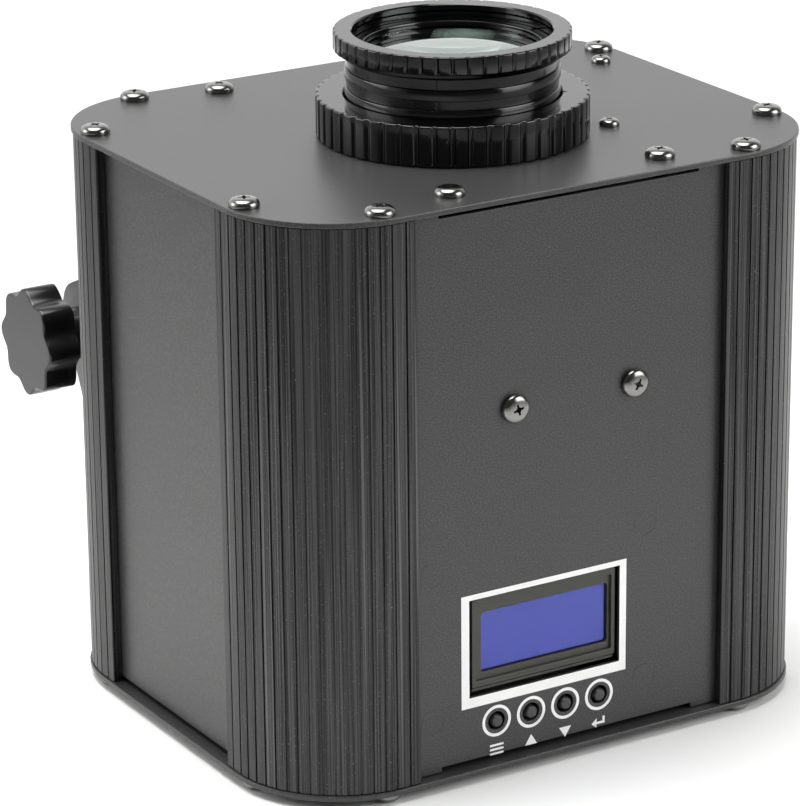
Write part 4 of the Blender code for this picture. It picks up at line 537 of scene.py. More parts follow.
def taken(item, *helpers):
    """The evaluated mesh of a draft, which is removed with its helpers."""
    bpy.context.view_layer.update()
    graph = bpy.context.evaluated_depsgraph_get()
    mesh = bpy.data.meshes.new_from_object(item.evaluated_get(graph))
    for used in (item, *helpers):
        bpy.data.objects.remove(used)
    return mesh


def from_bmesh(bm, mesh):
    """The mesh, filled from a bmesh that is then freed."""
    bm.to_mesh(mesh)
    bm.free()
    return mesh


def welded(mesh, slivers=False):
    """The mesh with doubled points joined and all faces turned outwards."""
    bm = bmesh.new()
    bm.from_mesh(mesh)
    bmesh.ops.remove_doubles(bm, verts=bm.verts, dist=WELD)
    if slivers:
        bmesh.ops.dissolve_degenerate(bm, edges=bm.edges, dist=WELD / 2)
    bmesh.ops.recalc_face_normals(bm, faces=bm.faces)
    return from_bmesh(bm, mesh)


def prism(loops, low, high, edge=0.0, turn=None):
    """A flat outline with holes between two heights, with its edges softened by a radius."""
    curve = bpy.data.curves.new("outline", "CURVE")
    curve.dimensions = "2D"
    curve.fill_mode = "BOTH"
    curve.extrude = (high - low) / 2 - edge
    if edge:
        curve.bevel_depth = edge
        curve.bevel_resolution = 1
        curve.offset = -edge
    for loop in loops:
        spline = curve.splines.new("POLY")
        spline.points.add(len(loop) - 1)
        for point, (x, y) in zip(spline.points, loop):
            point.co = (x, y, 0, 1)
        spline.use_cyclic_u = True
    mesh = welded(taken(draft(curve)), slivers=True)
    mesh.transform(Matrix.Translation((0, 0, (low + high) / 2)))
    if turn is not None:
        mesh.transform(turn)
    return mesh


def lathe(rows, steps, closed=True):
    """Rings round Z from (radius, height) rows; a radius may be a list with one value a step."""
    points, faces = [], []
    for radius, z in rows:
        for i in range(steps):
            r = radius[i] if isinstance(radius, list) else radius
            a = FULL * i / steps
            points.append((r * math.cos(a), r * math.sin(a), z))
    count = len(rows)
    for row in range(count if closed else count - 1):
        here, there = row * steps, (row + 1) % count * steps
        for i in range(steps):
            j = (i + 1) % steps
            faces.append((here + i, there + i, there + j, here + j))
    mesh = bpy.data.meshes.new("turned")
    mesh.from_pydata(points, [], faces)
    return welded(mesh)


def circle(radius, steps, centre=(0, 0), start=0.0, sweep=FULL):
    """Points round a centre, or from a start angle through a sweep."""
    count = steps if sweep == FULL else steps + 1
    turns = [start + sweep * i / steps for i in range(count)]
    return [(centre[0] + radius * math.cos(a), centre[1] + radius * math.sin(a)) for a in turns]


def rounded(width, height, radius=0.0, steps=6, centre=(0, 0)):
    """A rectangle, with round corners where a radius is given."""
    points = []
    for corner, (sx, sy) in enumerate(QUADRANTS):
        cx = centre[0] + sx * (width / 2 - radius)
        cy = centre[1] + sy * (height / 2 - radius)
        for i in range(steps + 1 if radius else 1):
            a = QUARTER * (corner + (i / steps if radius else 0.5))
            points.append((cx + radius * math.cos(a), cy + radius * math.sin(a)))
    return points


def cut(mesh, cutters, operation="DIFFERENCE"):
    """The mesh after an exact Boolean with each cutter mesh in turn."""
    for cutter in cutters:
        item, tool = draft(mesh), draft(cutter)
        step = item.modifiers.new("cut", "BOOLEAN")
        step.operation = operation
        step.object = tool
        mesh = taken(item, tool)
    return mesh


def softened(mesh, width):
    """The mesh with its sharp edges bevelled."""
    item = draft(mesh)
    bevelled(item, width, angle=50)
    return taken(item)


def merged(meshes):
    """One mesh with the shells of several."""
    bm = bmesh.new()
    for mesh in meshes:
        bm.from_mesh(mesh)
    return from_bmesh(bm, bpy.data.meshes.new("merged"))


def block(size, centre=(0, 0, 0), edge=0.0):
    """A block with softened edges."""
    bm = bmesh.new()
    bmesh.ops.create_cube(bm, size=1)
    bmesh.ops.scale(bm, vec=size, verts=bm.verts)
    if edge:
        bmesh.ops.bevel(bm, geom=bm.edges[:], offset=edge, segments=2, affect="EDGES", profile=0.5)
    bmesh.ops.translate(bm, vec=centre, verts=bm.verts)
    return from_bmesh(bm, bpy.data.meshes.new("block"))


def rod(radius, length, steps=32, turn=None):
    """A rod about its own centre, along Z."""
    half = length / 2
    mesh = lathe([(0, half), (radius, half), (radius, -half), (0, -half)], steps, closed=False)
    if turn is not None:
        mesh.transform(turn)
    return mesh


# The housing

# Screws in the plates: near one edge and far from the other, or through a panel's tab
SCREW_NEAR, SCREW_FAR = 4.8 * MM, 29.5 * MM
TAB_SCREW_X, TAB_SCREW_INSET = 32 * MM, 10 * MM
# Radii of the holes under large and small screws
SCREW_HOLE, SMALL_HOLE = 2.3 * MM, 1.8 * MM
BRACKET_SCREWS = ((38.1 * MM, -27.5 * MM), (73.1 * MM, 28.7 * MM))
# The fan's middle and half the distance between its screws
FAN_Y, FAN_REACH = -10 * MM, 35.75 * MM
FAN_SCREWS = [(sx * FAN_REACH, FAN_Y + sy * FAN_REACH) for sx in (-1, 1) for sy in (-1, 1)]
# Screws of the bridge in the front and rear panels, and the hinge bracket's lower row
BRIDGE_X, BRIDGE_REACH, BRIDGE_Z = 1.3 * MM, 18.5 * MM, 98.6 * MM
BRIDGE_SCREWS = [(x, BRIDGE_Z) for x in (BRIDGE_X - BRIDGE_REACH, BRIDGE_X + BRIDGE_REACH)]
LOWER_ROW_Z = 53.4 * MM
SOCKET_X, SOCKET_Y = 62 * MM, 21 * MM
# Half the width of a panel's sheet and of its bent tabs, and how much lower its middle begins
SHEET_HALF, TAB_HALF, TAB_STEP = 50.1 * MM, 39.5 * MM, 1.3 * MM


def screw_places():
    """Where the plates are screwed to the profiles and to the panels' tabs."""
    x, y = CASE_WIDTH / 2, CASE_DEPTH / 2
    corner = [
        (x - SCREW_NEAR, y - SCREW_FAR),
        (x - SCREW_FAR, y - SCREW_NEAR),
        (TAB_SCREW_X, y - TAB_SCREW_INSET),
    ]
    return [(a * sx, b * sy) for sx, sy in QUADRANTS for a, b in corner]


def panel_face(case):
    """Distance from the middle to the outer face of the front and rear panels."""
    return CASE_DEPTH / 2 - case.overhang - case.recess


def on_front(case):
    """Puts a flat shape on the front panel, with its Z standing out of it."""
    return Matrix.Translation((0, -panel_face(case), 0)) @ TO_FRONT


class SPOTLIGHT_OT_plates(bpy.types.Operator):
    """Builds the top plate and the bottom plate with its fan slots"""

    bl_idname = "spotlight.plates"
    bl_label = "End plates"

    def execute(self, context):
        case, optics = context.scene.spotlight_case, context.scene.spotlight_optics
        outline = rounded(CASE_WIDTH, CASE_DEPTH, case.corner, steps=22)
        lens_y = -optics.axis_y
        holes = [circle(SLEEVE, 96, (0, lens_y))]
        holes += [circle(SCREW_HOLE, 12, p) for p in screw_places()]
        holes += [circle(SMALL_HOLE, 12, p) for p in BRACKET_SCREWS]
        mesh = prism([outline, *holes], CASE_HEIGHT - PLATE, CASE_HEIGHT, case.edge)
        piece("top_cover", mesh, "coat", "housing", ["top_plate"], sharp=15)

        # Rows of slots under the fan, with a web down the middle
        fan, web, pitch, width, corner = 36 * MM, 3 * MM, 9.5 * MM, 3.5 * MM, 1.7 * MM
        holes = [circle(SCREW_HOLE, 12, p) for p in FAN_SCREWS]
        for row in range(-3, 4):
            half = math.sqrt(fan**2 - (pitch * row) ** 2)
            for side in (-1, 1):
                centre = (side * (web + half) / 2, lens_y + pitch * row)
                holes.append(rounded(half - web, width, corner, 5, centre))
        # Holes for the power sockets, the data sockets and the latch
        power, power_corner, data = (20.2 * MM, 27.8 * MM), 0.8 * MM, 11.9 * MM
        latch, latch_corner, latch_reach = (6.8 * MM, 3.8 * MM), 0.3 * MM, 14.7 * MM
        for y in (-SOCKET_Y, SOCKET_Y):
            holes.append(rounded(*power, power_corner, 3, (-SOCKET_X, y)))
            holes.append(circle(data, 48, (SOCKET_X, y)))
        holes.append(rounded(*latch, latch_corner, 2, (SOCKET_X, -SOCKET_Y - latch_reach)))
        mesh = prism([outline, *holes], 0, PLATE, case.edge)
        piece("base_cover", mesh, "coat", "housing", ["bottom_plate"], sharp=15)
        return {"FINISHED"}


def profile_section(case):
    """The extrusion's section from its corner: grooved round wall and two slotted arms."""
    radius = case.corner - case.overhang
    arm = radius + case.straight
    arc = radius * QUARTER
    length = 2 * case.straight + arc
    # Softened corners, the slope beside a groove, and the slot's inner wall, depth and ledge
    soft, slope, slot_wall, slot_depth, ledge = 0.2 * MM, 0.05 * MM, 1.5 * MM, 3 * MM, 7 * MM

    def at(along, depth):
        """A point below the outer surface, measured from the end of the first arm."""
        if along < case.straight:
            return (arm - along, depth)
        if along > case.straight + arc:
            return (depth, radius + along - case.straight - arc)
        turn = (along - case.straight) / radius
        reach = radius - depth
        return (radius - reach * math.sin(turn), radius - reach * math.cos(turn))

    count = int(length / case.groove_pitch) - 3
    reach = case.groove_pitch * (count - 1) / 2
    places = [length / 2 - reach + case.groove_pitch * i for i in range(count)]
    places = [places[0] - case.groove_end] + places + [places[-1] + case.groove_end]
    half, deep = case.groove_width / 2, case.groove_depth
    edge = soft
    points = [at(edge, 0)]
    for middle in places:
        start = middle - half - slope
        points += [at(edge + (start - edge) * step / 3, 0) for step in range(1, 4)]
        points += [at(middle - half, slope), at(middle - half + slope, deep)]
        points += [at(middle + half - slope, deep), at(middle + half, slope)]
        edge = middle + half + slope
        points.append(at(edge, 0))
    points.append(at(length - soft, 0))
    land = case.recess - GAP
    slot = land + case.panel + 2 * GAP
    back = slot + slot_wall
    root = arm - slot_depth
    first = [
        (arm, soft),
        (arm, land),
        (root, land),
        (root, slot),
        (arm, slot),
        (arm, back),
        (arm - ledge, back),
        (radius, case.wall),
    ]
    inner = radius - case.wall
    turns = [QUARTER * i / 10 for i in range(1, 10)]
    inside = [(radius - inner * math.sin(a), radius - inner * math.cos(a)) for a in turns]
    return points + [(y, x) for x, y in first] + inside[::-1] + first[::-1]


class SPOTLIGHT_OT_profiles(bpy.types.Operator):
    """Builds the four grooved corner profiles"""

    bl_idname = "spotlight.profiles"
    bl_label = "Corner profiles"

    def execute(self, context):
        case = context.scene.spotlight_case
        x_end, y_end = CASE_WIDTH / 2 - case.overhang, CASE_DEPTH / 2 - case.overhang
        for way, sy in (("front", -1), ("rear", 1)):
            for hand, sx in (("left", -1), ("right", 1)):
                name = f"{way}_{hand}"
                loop = [(sx * (x_end - x), sy * (y_end - y)) for x, y in profile_section(case)]
                mesh = prism([loop], WALL_LOW, WALL_HIGH)
                packed = "corner_profile_" + name
                piece("extrusion_" + name, mesh, "profile", "housing", [packed], sharp=24)
        return {"FINISHED"}


def sheet_outline():
    """A panel whose middle is shorter at both ends, where its tabs are bent inwards."""
    # The middle ends in the shadow of the top plate
    drop = 1.65 * MM
    foot, head = WALL_LOW + TAB_STEP, WALL_HIGH - drop
    right = [
        (TAB_HALF, foot),
        (TAB_HALF, WALL_LOW),
        (SHEET_HALF, WALL_LOW),
        (SHEET_HALF, WALL_HIGH),
        (TAB_HALF, WALL_HIGH),
        (TAB_HALF, head),
    ]
    return right + [(-x, z) for x, z in right[::-1]]


def cover(case, holes, spin):
    """A panel's sheet with its two bent tabs, made for the rear and turned about Z."""
    face, t = panel_face(case), case.panel
    edge, tab_edge, depth = 0.12 * MM, 0.2 * MM, 10.8 * MM
    sheet = prism([sheet_outline(), *holes], -t / 2, t / 2, edge)
    sheet.transform(Matrix.Translation((0, face - t / 2, 0)) @ TO_REAR)
    shells = [sheet]
    # The bend of the upper tab starts deeper, in the shadow of the plate
    for foot, start in ((WALL_LOW + TAB_STEP, 0.2 * MM), (WALL_HIGH - GAP - t, 1.6 * MM)):
        size = (2 * (TAB_HALF - GAP), depth - start, t)
        shells.append(block(size, (0, face - (depth + start) / 2, foot + t / 2), tab_edge))
    mesh = merged(shells)
    mesh.transform(Matrix.Rotation(spin, 4, "Z"))
    return mesh


class SPOTLIGHT_OT_panels(bpy.types.Operator):
    """Builds the front and rear panels and finishes the two side panels"""

    bl_idname = "spotlight.panels"
    bl_label = "Panels"

    def execute(self, context):
        case, display = context.scene.spotlight_case, context.scene.spotlight_display
        button_hole = 2.6 * MM
        holes = [rounded(display.width, display.height, centre=(-display.centre_x, display.centre_z))]
        holes += [circle(button_hole, 32, (x, display.button_z)) for x in button_places(display)]
        holes += [circle(SCREW_HOLE, 16, p) for p in BRIDGE_SCREWS]
        piece("front_cover", cover(case, holes, math.pi), "coat", "housing", ["front_panel"], sharp=15)

        pitch, width, height, corner, middle = 7 * MM, 3 * MM, 30 * MM, 1.45 * MM, 129 * MM
        rows = (BRIDGE_Z, LOWER_ROW_Z)
        holes = [circle(SCREW_HOLE, 16, (-x, z)) for z in rows for x, _ in BRIDGE_SCREWS]
        holes += [rounded(width, height, corner, 5, (pitch * i, middle)) for i in range(-5, 6)]
        piece("rear_cover", cover(case, holes, 0), "coat", "housing", ["rear_panel"], sharp=15)
        carry("coat", "left_panel", "right_panel", edge=0.1 * MM)

        # Faint rims of the clinched studs that hold the display's board
        studs = ((-42, 57.5), (24, 58.5), (24, 14.6), (-42, 16.5))
        radius, line, proud, start = 3.9 * MM, 0.25 * MM, 0.05 * MM, 0.3
        rims = []
        for x, z in studs:
            loops = [circle(r, 6, (x * MM, z * MM), start) for r in (radius, radius - line)]
            rims.append(prism(loops, 0, proud))
        mesh = merged(rims)
        mesh.transform(on_front(case))
        piece("clinch_rims", mesh, "coat", "housing")
        return {"FINISHED"}


# Screws

# A pan head from its top to its rim, as shares of its radius and its height
HEAD_SHARES = ((0, 1), (0.4, 0.985), (0.64, 0.93), (0.8, 0.83), (0.92, 0.66), (0.985, 0.44), (1, 0.24))
# Depth of the cross recess as a share of the height, and its arms as shares of the radius
RECESS_SHARE, ARM_SHARE, WIDTH_SHARE = 0.72, 0.56, 0.2


def pan_head(radius, head, height, length):
    """A pan head screw with its cross recess: the head stands on zero, the shank hangs below."""
    rows = [(head * across, height * up) for across, up in HEAD_SHARES]
    rows += [
        (head * 0.975, 0.02 * MM),
        (radius, 0),
        (radius, 0.4 * MM - length),
        (radius * 0.8, -length),
        (0, -length),
    ]
    mesh = lathe(rows, 40, closed=False)
    depth, arm, width = height * RECESS_SHARE, head * ARM_SHARE, head * WIDTH_SHARE
    # Shares of its length and width that a blade of the cross keeps at its foot
    foot_length, foot_width = 0.4, 0.6
    cutters = []
    for turn in (0, QUARTER):
        blade = block((arm * 2, width, depth * 2))
        for vert in blade.vertices:
            if vert.co.z < 0:
                vert.co.x *= foot_length
                vert.co.y *= foot_width
        blade.transform(Matrix.Translation((0, 0, height)) @ Matrix.Rotation(turn, 4, "Z"))
        cutters.append(blade)
    top, foot = height + depth, height - depth
    core = [(0, top), (width * 1.1, top), (width * 0.9, foot), (0, foot)]
    return cut(mesh, [*cutters, lathe(core, 12, closed=False)])


class SPOTLIGHT_OT_screws(bpy.types.Operator):
    """Builds the pan head screws of the plates, the panels and the bracket"""

    bl_idname = "spotlight.screws"
    bl_label = "Screws"

    def execute(self, context):
        case, mount = context.scene.spotlight_case, context.scene.spotlight_mount
        face, rows = panel_face(case), (LOWER_ROW_Z, BRIDGE_Z)
        bracket_face = face + GAP + mount.strip
        large = pan_head(radius=2 * MM, head=4 * MM, height=SCREW_HEAD, length=8 * MM)
        small = pan_head(radius=1.5 * MM, head=2.75 * MM, height=1.9 * MM, length=6 * MM)
        corners, small_ones = screw_places(), BRACKET_SCREWS
        up, down = Matrix.Identity(4), Matrix.Rotation(math.pi, 4, "X")
        backward = Matrix.Rotation(-QUARTER, 4, "X")
        on_bracket = [(x, bracket_face, z) for x, _ in BRIDGE_SCREWS for z in rows]
        # Name, screw, way, places and the name of the nodes that they replace
        sets = (
            ("cover_screw", large, up, [(x, y, CASE_HEIGHT) for x, y in corners], "top_screw_"),
            ("hanger_screw", small, up, [(x, y, CASE_HEIGHT) for x, y in small_ones], "bracket_screw_"),
            ("bridge_screw", large, TO_FRONT, [(x, -face, z) for x, z in BRIDGE_SCREWS], "front_screw_"),
            ("foot_screw", large, down, [(x, y, 0) for x, y in corners], None),
            ("fan_screw", large, down, [(x, y, 0) for x, y in FAN_SCREWS], None),
            ("mount_screw", large, backward, on_bracket, None),
        )
        # Each screw stopped at its own angle, this many radians on from the one before
        apart = 2.4
        for prefix, mesh, way, places, node_prefix in sets:
            for number, at in enumerate(places, start=1):
                spun = mesh.copy()
                spun.transform(way @ Matrix.Rotation(number * apart + len(prefix), 4, "Z"))
                replaced = [node_prefix + str(number)] if node_prefix else []
                piece(f"{prefix}_{number:02d}", spun, "plating", "housing", replaced, sharp=40, at=at)
        return {"FINISHED"}


# The lens tube

# Points round each rib and its groove, and the depth of a groove's flanks as shares of its own
RIB_STEPS, FLANK_SHARES = 14, (0.1, 0.75)
# The lower rim of a ring: how far in and how high, in millimetres
LOWER_RIM = ((0, 0.4), (0.1, 0.12), (0.35, 0))
# A flat band under a thin groove: how high and how proud of the barrel, in millimetres
BAND = (
    (0.5, 0),
    (0.38, -0.3),
    (0.06, -0.3),
    (0, 0.1),
    (-0.1, 0.27),
    (-0.3, 0.35),
    (-2.8, 0.35),
    (-3, 0.2),
    (-3, 0),
)


def ribbed(radius, ribs, depth, groove):
    """The radius at each step of a grip: flat lands, and grooves as many steps wide as given."""
    floor = [1.0] * (groove - 2 * len(FLANK_SHARES))
    shape = [0.0] * (RIB_STEPS - groove) + [*FLANK_SHARES, *floor, *FLANK_SHARES[::-1]]
    return [radius - depth * shape[i % RIB_STEPS] for i in range(ribs * RIB_STEPS)]


def inset(radii, by):
    """A ring of radii drawn in."""
    return [r - by for r in radii]


def quarter_round(radii, high, rim):
    """Rows that round a ring's upper rim, from its top to its side."""
    turns = [QUARTER * i / 4 for i in range(5)]
    return [(inset(radii, rim * (1 - math.sin(a))), high - rim * (1 - math.cos(a))) for a in turns]


def grip_rows(radii, low, high):
    """The outer side of a ribbed ring from top to bottom, with softened rims."""
    flat, rim = min(radii) - 0.55 * MM, 0.42 * MM
    foot = [(inset(radii, by * MM), low + up * MM) for by, up in LOWER_RIM]
    return [(flat, high), *quarter_round(radii, high, rim), *foot, (flat, low)]


class SPOTLIGHT_OT_collar(bpy.types.Operator):
    """Builds the ribbed focus collar"""

    bl_idname = "spotlight.collar"
    bl_label = "Focus collar"

    def execute(self, context):
        optics = context.scene.spotlight_optics
        steps = optics.ribs * RIB_STEPS
        radii = ribbed(optics.collar, optics.ribs, optics.rib_depth, groove=6)
        low, high = CASE_HEIGHT + GAP, CASE_HEIGHT + 11.1 * MM
        # The sleeve's flange and neck stand inside, under the collar's lip
        flange, flange_top, lip = 34.05 * MM, CASE_HEIGHT + 2.6 * MM, CASE_HEIGHT + 7.1 * MM
        bore, soft, chamfer = 28.95 * MM, 0.2 * MM, 0.3 * MM
        # A small witness notch in the lip, at the right
        notch, notch_depth = round(-35 / 360 * steps), 0.9 * MM
        mouth = [bore] * steps
        for step in (notch - 1, notch, notch + 1):
            mouth[step % steps] += notch_depth
        rows = grip_rows(radii, low, high) + [
            (flange + soft, low),
            (flange, low + soft),
            (flange, flange_top),
            (SLEEVE, flange_top),
            (SLEEVE, lip),
            (inset(mouth, -soft / 2), lip),
            (mouth, lip + soft),
            (mouth, high - chamfer),
            (inset(mouth, -chamfer), high),
            (inset(mouth, -1.4 * chamfer), high),
        ]
        at = (0, -optics.axis_y, 0)
        piece("grip_collar", lathe(rows, steps), "gloss", "focus_collar", ["focus_collar"], sharp=32, at=at)
        return {"FINISHED"}


class SPOTLIGHT_OT_lens_tube(bpy.types.Operator):
    """Builds the sliding barrel, its front ring, the lens and its retaining ring"""

    bl_idname = "spotlight.lens_tube"
    bl_label = "Lens tube"

    def execute(self, context):
        optics = context.scene.spotlight_optics
        at = (0, -optics.axis_y, 0)
        outer, bore, radius = optics.barrel, optics.bore, optics.lens
        head, foot, seat = CASE_HEIGHT + 26.2 * MM, CASE_HEIGHT - 31 * MM, CASE_HEIGHT + 17.2 * MM
        rim, chamfer = 0.4 * MM, 0.3 * MM
        rows = [(outer - rim, head), (outer, head - rim)]
        for band in (CASE_HEIGHT + 18.6 * MM, CASE_HEIGHT + 13.2 * MM):
            rows += [(outer + proud * MM, band + up * MM) for up, proud in BAND]
        rows += [(outer, foot + chamfer), (outer - chamfer, foot), (bore, foot)]
        # The shelf that the lens lies on
        shelf, reach, soft = 3 * MM, 2.5 * MM, 0.2 * MM
        mouth = radius + GAP
        rows += [
            (bore, seat - shelf),
            (bore - reach, seat - shelf + soft),
            (bore - reach, seat - soft),
            (bore - reach + soft, seat),
            (mouth, seat),
            (mouth, head - soft),
        ]
        # The mould's parting line stands up along the barrel, and a pin's groove lies at its rear
        width, proud, height = 0.22 * MM, 0.3 * MM, 24 * MM
        seam = block((width, proud, height), (0, -outer, CASE_HEIGHT + height / 2), 0.04 * MM)
        seam.transform(Matrix.Rotation(math.radians(-40), 4, "Z"))
        groove = block((2.6 * MM, 2.4 * MM, 18.7 * MM), (0, outer, CASE_HEIGHT - 7.75 * MM))
        mesh = merged([cut(lathe(rows, 144), [groove]), seam])
        piece("sliding_barrel", mesh, "gloss", "lens_tube", ["lens_barrel"], sharp=35, at=at)

        low, high = CASE_HEIGHT + 23.3 * MM, CASE_HEIGHT + 28.2 * MM
        steps = optics.ribs * RIB_STEPS
        radii = ribbed(optics.ring, optics.ribs, optics.rib_depth * 0.8, groove=5)
        # Under the ribs the ring narrows to a cone, and it closes over the barrel's rim
        cone, cone_foot, cone_drop, over, chamfer = 30.3 * MM, 28.9 * MM, 1.8 * MM, 26.5 * MM, 0.35 * MM
        rows = grip_rows(radii, low, high) + [
            (cone, low),
            (cone - 0.1 * MM, low - GAP),
            (cone_foot, low - cone_drop),
            (outer + GAP, low - cone_drop),
            (outer + GAP, head + GAP),
            (over, head + GAP),
            (over, high - chamfer),
            (over + chamfer, high),
            (over + chamfer + 0.12 * MM, high),
        ]
        piece("grip_ring", lathe(rows, steps), "gloss", "lens_tube", ["front_ring"], sharp=32, at=at)

        base = seat + GAP
        edge, crown = base + 4.5 * MM, 2.2 * MM
        shares = [i / 14 for i in range(15)]
        # The front is a shallow dome
        rows = [(radius * share, edge + crown * (1 - share**2)) for share in shares]
        rows += [(radius, base + soft), (radius - soft, base), (0, base)]
        piece("front_lens", lathe(rows, 96, closed=False), "glass", "lens_tube", ["lens"], sharp=50, at=at)

        inner, soft, chamfer = radius - 2.8 * MM, 0.1 * MM, 0.3 * MM
        low = edge + crown * (1 - (inner / radius) ** 2) + GAP
        high = low + 1.5 * MM
        rows = [
            (radius, high - soft),
            (radius, low),
            (inner, low),
            (inner, high - chamfer),
            (inner + soft, high - soft),
            (inner + chamfer, high),
            (radius - soft, high),
        ]
        # Two slots for a pin spanner
        size, slot_x = (2.2 * MM, 1.6 * MM, 1.6 * MM), radius - 0.6 * MM
        ring = cut(lathe(rows, 96), [block(size, (side * slot_x, 0, high)) for side in (-1, 1)])
        piece("spanner_ring", ring, "gloss", "lens_tube", ["retaining_ring"], sharp=35, at=at)
        carry("gloss", "lens_sleeve", "sleeve_nut")
        return {"FINISHED"}


# Display, buttons and print

# Profile of a button's cap: shares of its radius, and millimetres below its top
CAP = ((0, 0.02), (0.74, 0.02), (0.84, 0.1), (0.93, 0.35), (1, 0.9))
# The printed frame, and a return arrow about its own middle, in millimetres
FRAME_LEFT, FRAME_RIGHT, FRAME_LOW, FRAME_HIGH = -33.4 * MM, 18.1 * MM, 17.9 * MM, 49.6 * MM
RETURN_ARROW = (
    (1.9, 1.6),
    (1.9, -0.45),
    (-0.7, -0.45),
    (-0.7, -1.5),
    (-2.3, -0.1),
    (-0.7, 1.3),
    (-0.7, 0.25),
    (1.2, 0.25),
    (1.2, 1.6),
)


def button_places(display):
    """Middle of each button along X."""
    off_centre = 1.025 * MM
    first = -display.centre_x + off_centre - 1.5 * display.button_pitch
    return [first + display.button_pitch * i for i in range(4)]


class SPOTLIGHT_OT_display(bpy.types.Operator):
    """Builds the stepped bezel round the screen"""

    bl_idname = "spotlight.display"
    bl_label = "Display"

    def execute(self, context):
        case, display = context.scene.spotlight_case, context.scene.spotlight_display
        x, z = -display.frame_x, display.frame_z
        low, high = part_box("display_bezel")
        corner = 0.5 * MM
        outer = rounded(high.x - low.x, high.z - low.z, corner, 4, (x, z))
        # Two openings, the second a little off the first's middle
        opening = rounded(42.4 * MM, 21.2 * MM, corner, 4, (x, z))
        window = rounded(39.5 * MM, 16.8 * MM, 1 * MM, 6, (x + 0.65 * MM, z - 0.3 * MM))
        # Depths of the bezel's front, its step, its floor and its back
        front, step, floor, back = 0.8 * MM, 1.6 * MM, 3.8 * MM, (high - HOUSE).y + panel_face(case)
        layers = (([outer, opening], front, step), ([outer, window], step, floor), ([outer], floor, back))
        shells = [prism(loops, -far, -near, 0.1 * MM) for loops, near, far in layers]
        # A thin line moulded along the top and the bottom of the frame
        line, reach, inward = (43.4 * MM, 0.3 * MM, 0.3 * MM), 11.55 * MM, 0.87 * MM
        for side in (-1, 1):
            shells.append(block(line, (x, z + side * reach, -inward), 0.08 * MM))
        # The lip under the frame, set back between two dark gaps
        lip, drop, inward = (44.2 * MM, 0.75 * MM, 1.2 * MM), 13.1 * MM, 1.9 * MM
        shells.append(block(lip, (x, z - drop, -inward), 0.1 * MM))
        mesh = merged(shells)
        mesh.transform(on_front(case))
        piece("stepped_bezel", mesh, "bezel", "housing", ["display_bezel"], sharp=15)
        carry("screen", "display_screen", edge=0.15 * MM)
        return {"FINISHED"}


class SPOTLIGHT_OT_buttons(bpy.types.Operator):
    """Builds the four push buttons"""

    bl_idname = "spotlight.buttons"
    bl_label = "Buttons"

    def execute(self, context):
        display = context.scene.spotlight_display
        names = ("mode_button", "up_button", "down_button", "enter_button")
        for name, x in zip(names, button_places(display)):
            low, high = [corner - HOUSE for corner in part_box(name)]
            radius = (high.x - low.x) / 2
            rows = [(radius * share, -low.y - down * MM) for share, down in CAP]
            mesh = lathe(rows + [(radius, -high.y), (0, -high.y)], 28, closed=False)
            piece(name + "_cap", mesh, "button", name, [name], TO_FRONT, at=(x, 0, display.button_z))
        return {"FINISHED"}


class SPOTLIGHT_OT_print(bpy.types.Operator):
    """Prints the frame round the display, the rings and the signs under the buttons"""

    bl_idname = "spotlight.screen_print"
    bl_label = "Print"

    def execute(self, context):
        case, display = context.scene.spotlight_case, context.scene.spotlight_display
        ink = 0.03 * MM
        x, z, spare = -display.centre_x, display.centre_z, 0.1 * MM
        window = rounded(display.width + spare, display.height + spare, centre=(x, z))
        low = [(FRAME_LEFT, FRAME_LOW), (FRAME_RIGHT, FRAME_LOW)]
        border = low + [(FRAME_RIGHT, FRAME_HIGH), (FRAME_LEFT, FRAME_HIGH)]
        places = button_places(display)
        radii = (display.ring, display.ring - display.line)
        rings = [prism([circle(r, 56, (v, display.button_z)) for r in radii], 0, ink) for v in places]

        # Three bars, an arrow up, an arrow down and a return arrow
        level, (mode, up, down, enter) = 4.4 * MM, places
        bar, bar_height, bar_pitch = 4.2 * MM, 0.6 * MM, 1.2 * MM
        loops = [rounded(bar, bar_height, centre=(mode, level + i * bar_pitch)) for i in (-1, 0, 1)]
        tip, base, half = 1.7 * MM, 1.3 * MM, 1.9 * MM
        for v, way in ((up, 1), (down, -1)):
            foot = level - way * base
            loops.append([(v, level + way * tip), (v - half, foot), (v + half, foot)])
        loops.append([(enter + a * MM, level + b * MM) for a, b in RETURN_ARROW])
        signs = [prism([loop], 0, ink) for loop in loops]
        marks = {
            "printed_frame": [prism([border, window], 0, ink)],
            "printed_rings": rings,
            "printed_signs": signs,
        }
        for name, shells in marks.items():
            mesh = merged(shells)
            mesh.transform(on_front(case))
            piece(name, mesh, "print", "housing")
        return {"FINISHED"}


# Bracket, yoke and knobs

# Space between an ear and the yoke's arm, where the washer lies
WASHER_SPACE = 1.8 * MM
# Radius of the pivot's holes, and a length that reaches through both arms
PIVOT_HOLE, THROUGH = 3.3 * MM, 200 * MM


def channel(half_width, floor, end, radius, strip):
    """A strip bent to a channel, seen from above."""
    inner = half_width - strip
    left, right = (radius - half_width, floor + radius), (half_width - radius, floor + radius)

    def arc(centre, reach, start):
        """A quarter turn of the bend."""
        return circle(reach, 10, centre, start, QUARTER)

    points = arc(left, radius, math.pi) + arc(right, radius, -QUARTER)
    points += [(half_width, end), (inner, end)]
    points += arc(right, radius - strip, -QUARTER)[::-1]
    points += arc(left, radius - strip, math.pi)[::-1]
    return points + [(-inner, end), (-half_width, end)]


def ear_side(pivot, back, skirt, half, ear):
    """The ears' outline from the side: a plate that runs in tangents to a round end."""
    dy = pivot.y - skirt
    lean = math.atan2(half, dy) - math.asin(ear / math.hypot(dy, half))
    start = QUARTER - lean
    points = [(back, pivot.z - half), (skirt, pivot.z - half)]
    points += circle(ear, 24, (pivot.y, pivot.z), -start, 2 * start)
    return points + [(skirt, pivot.z + half), (back, pivot.z + half)]


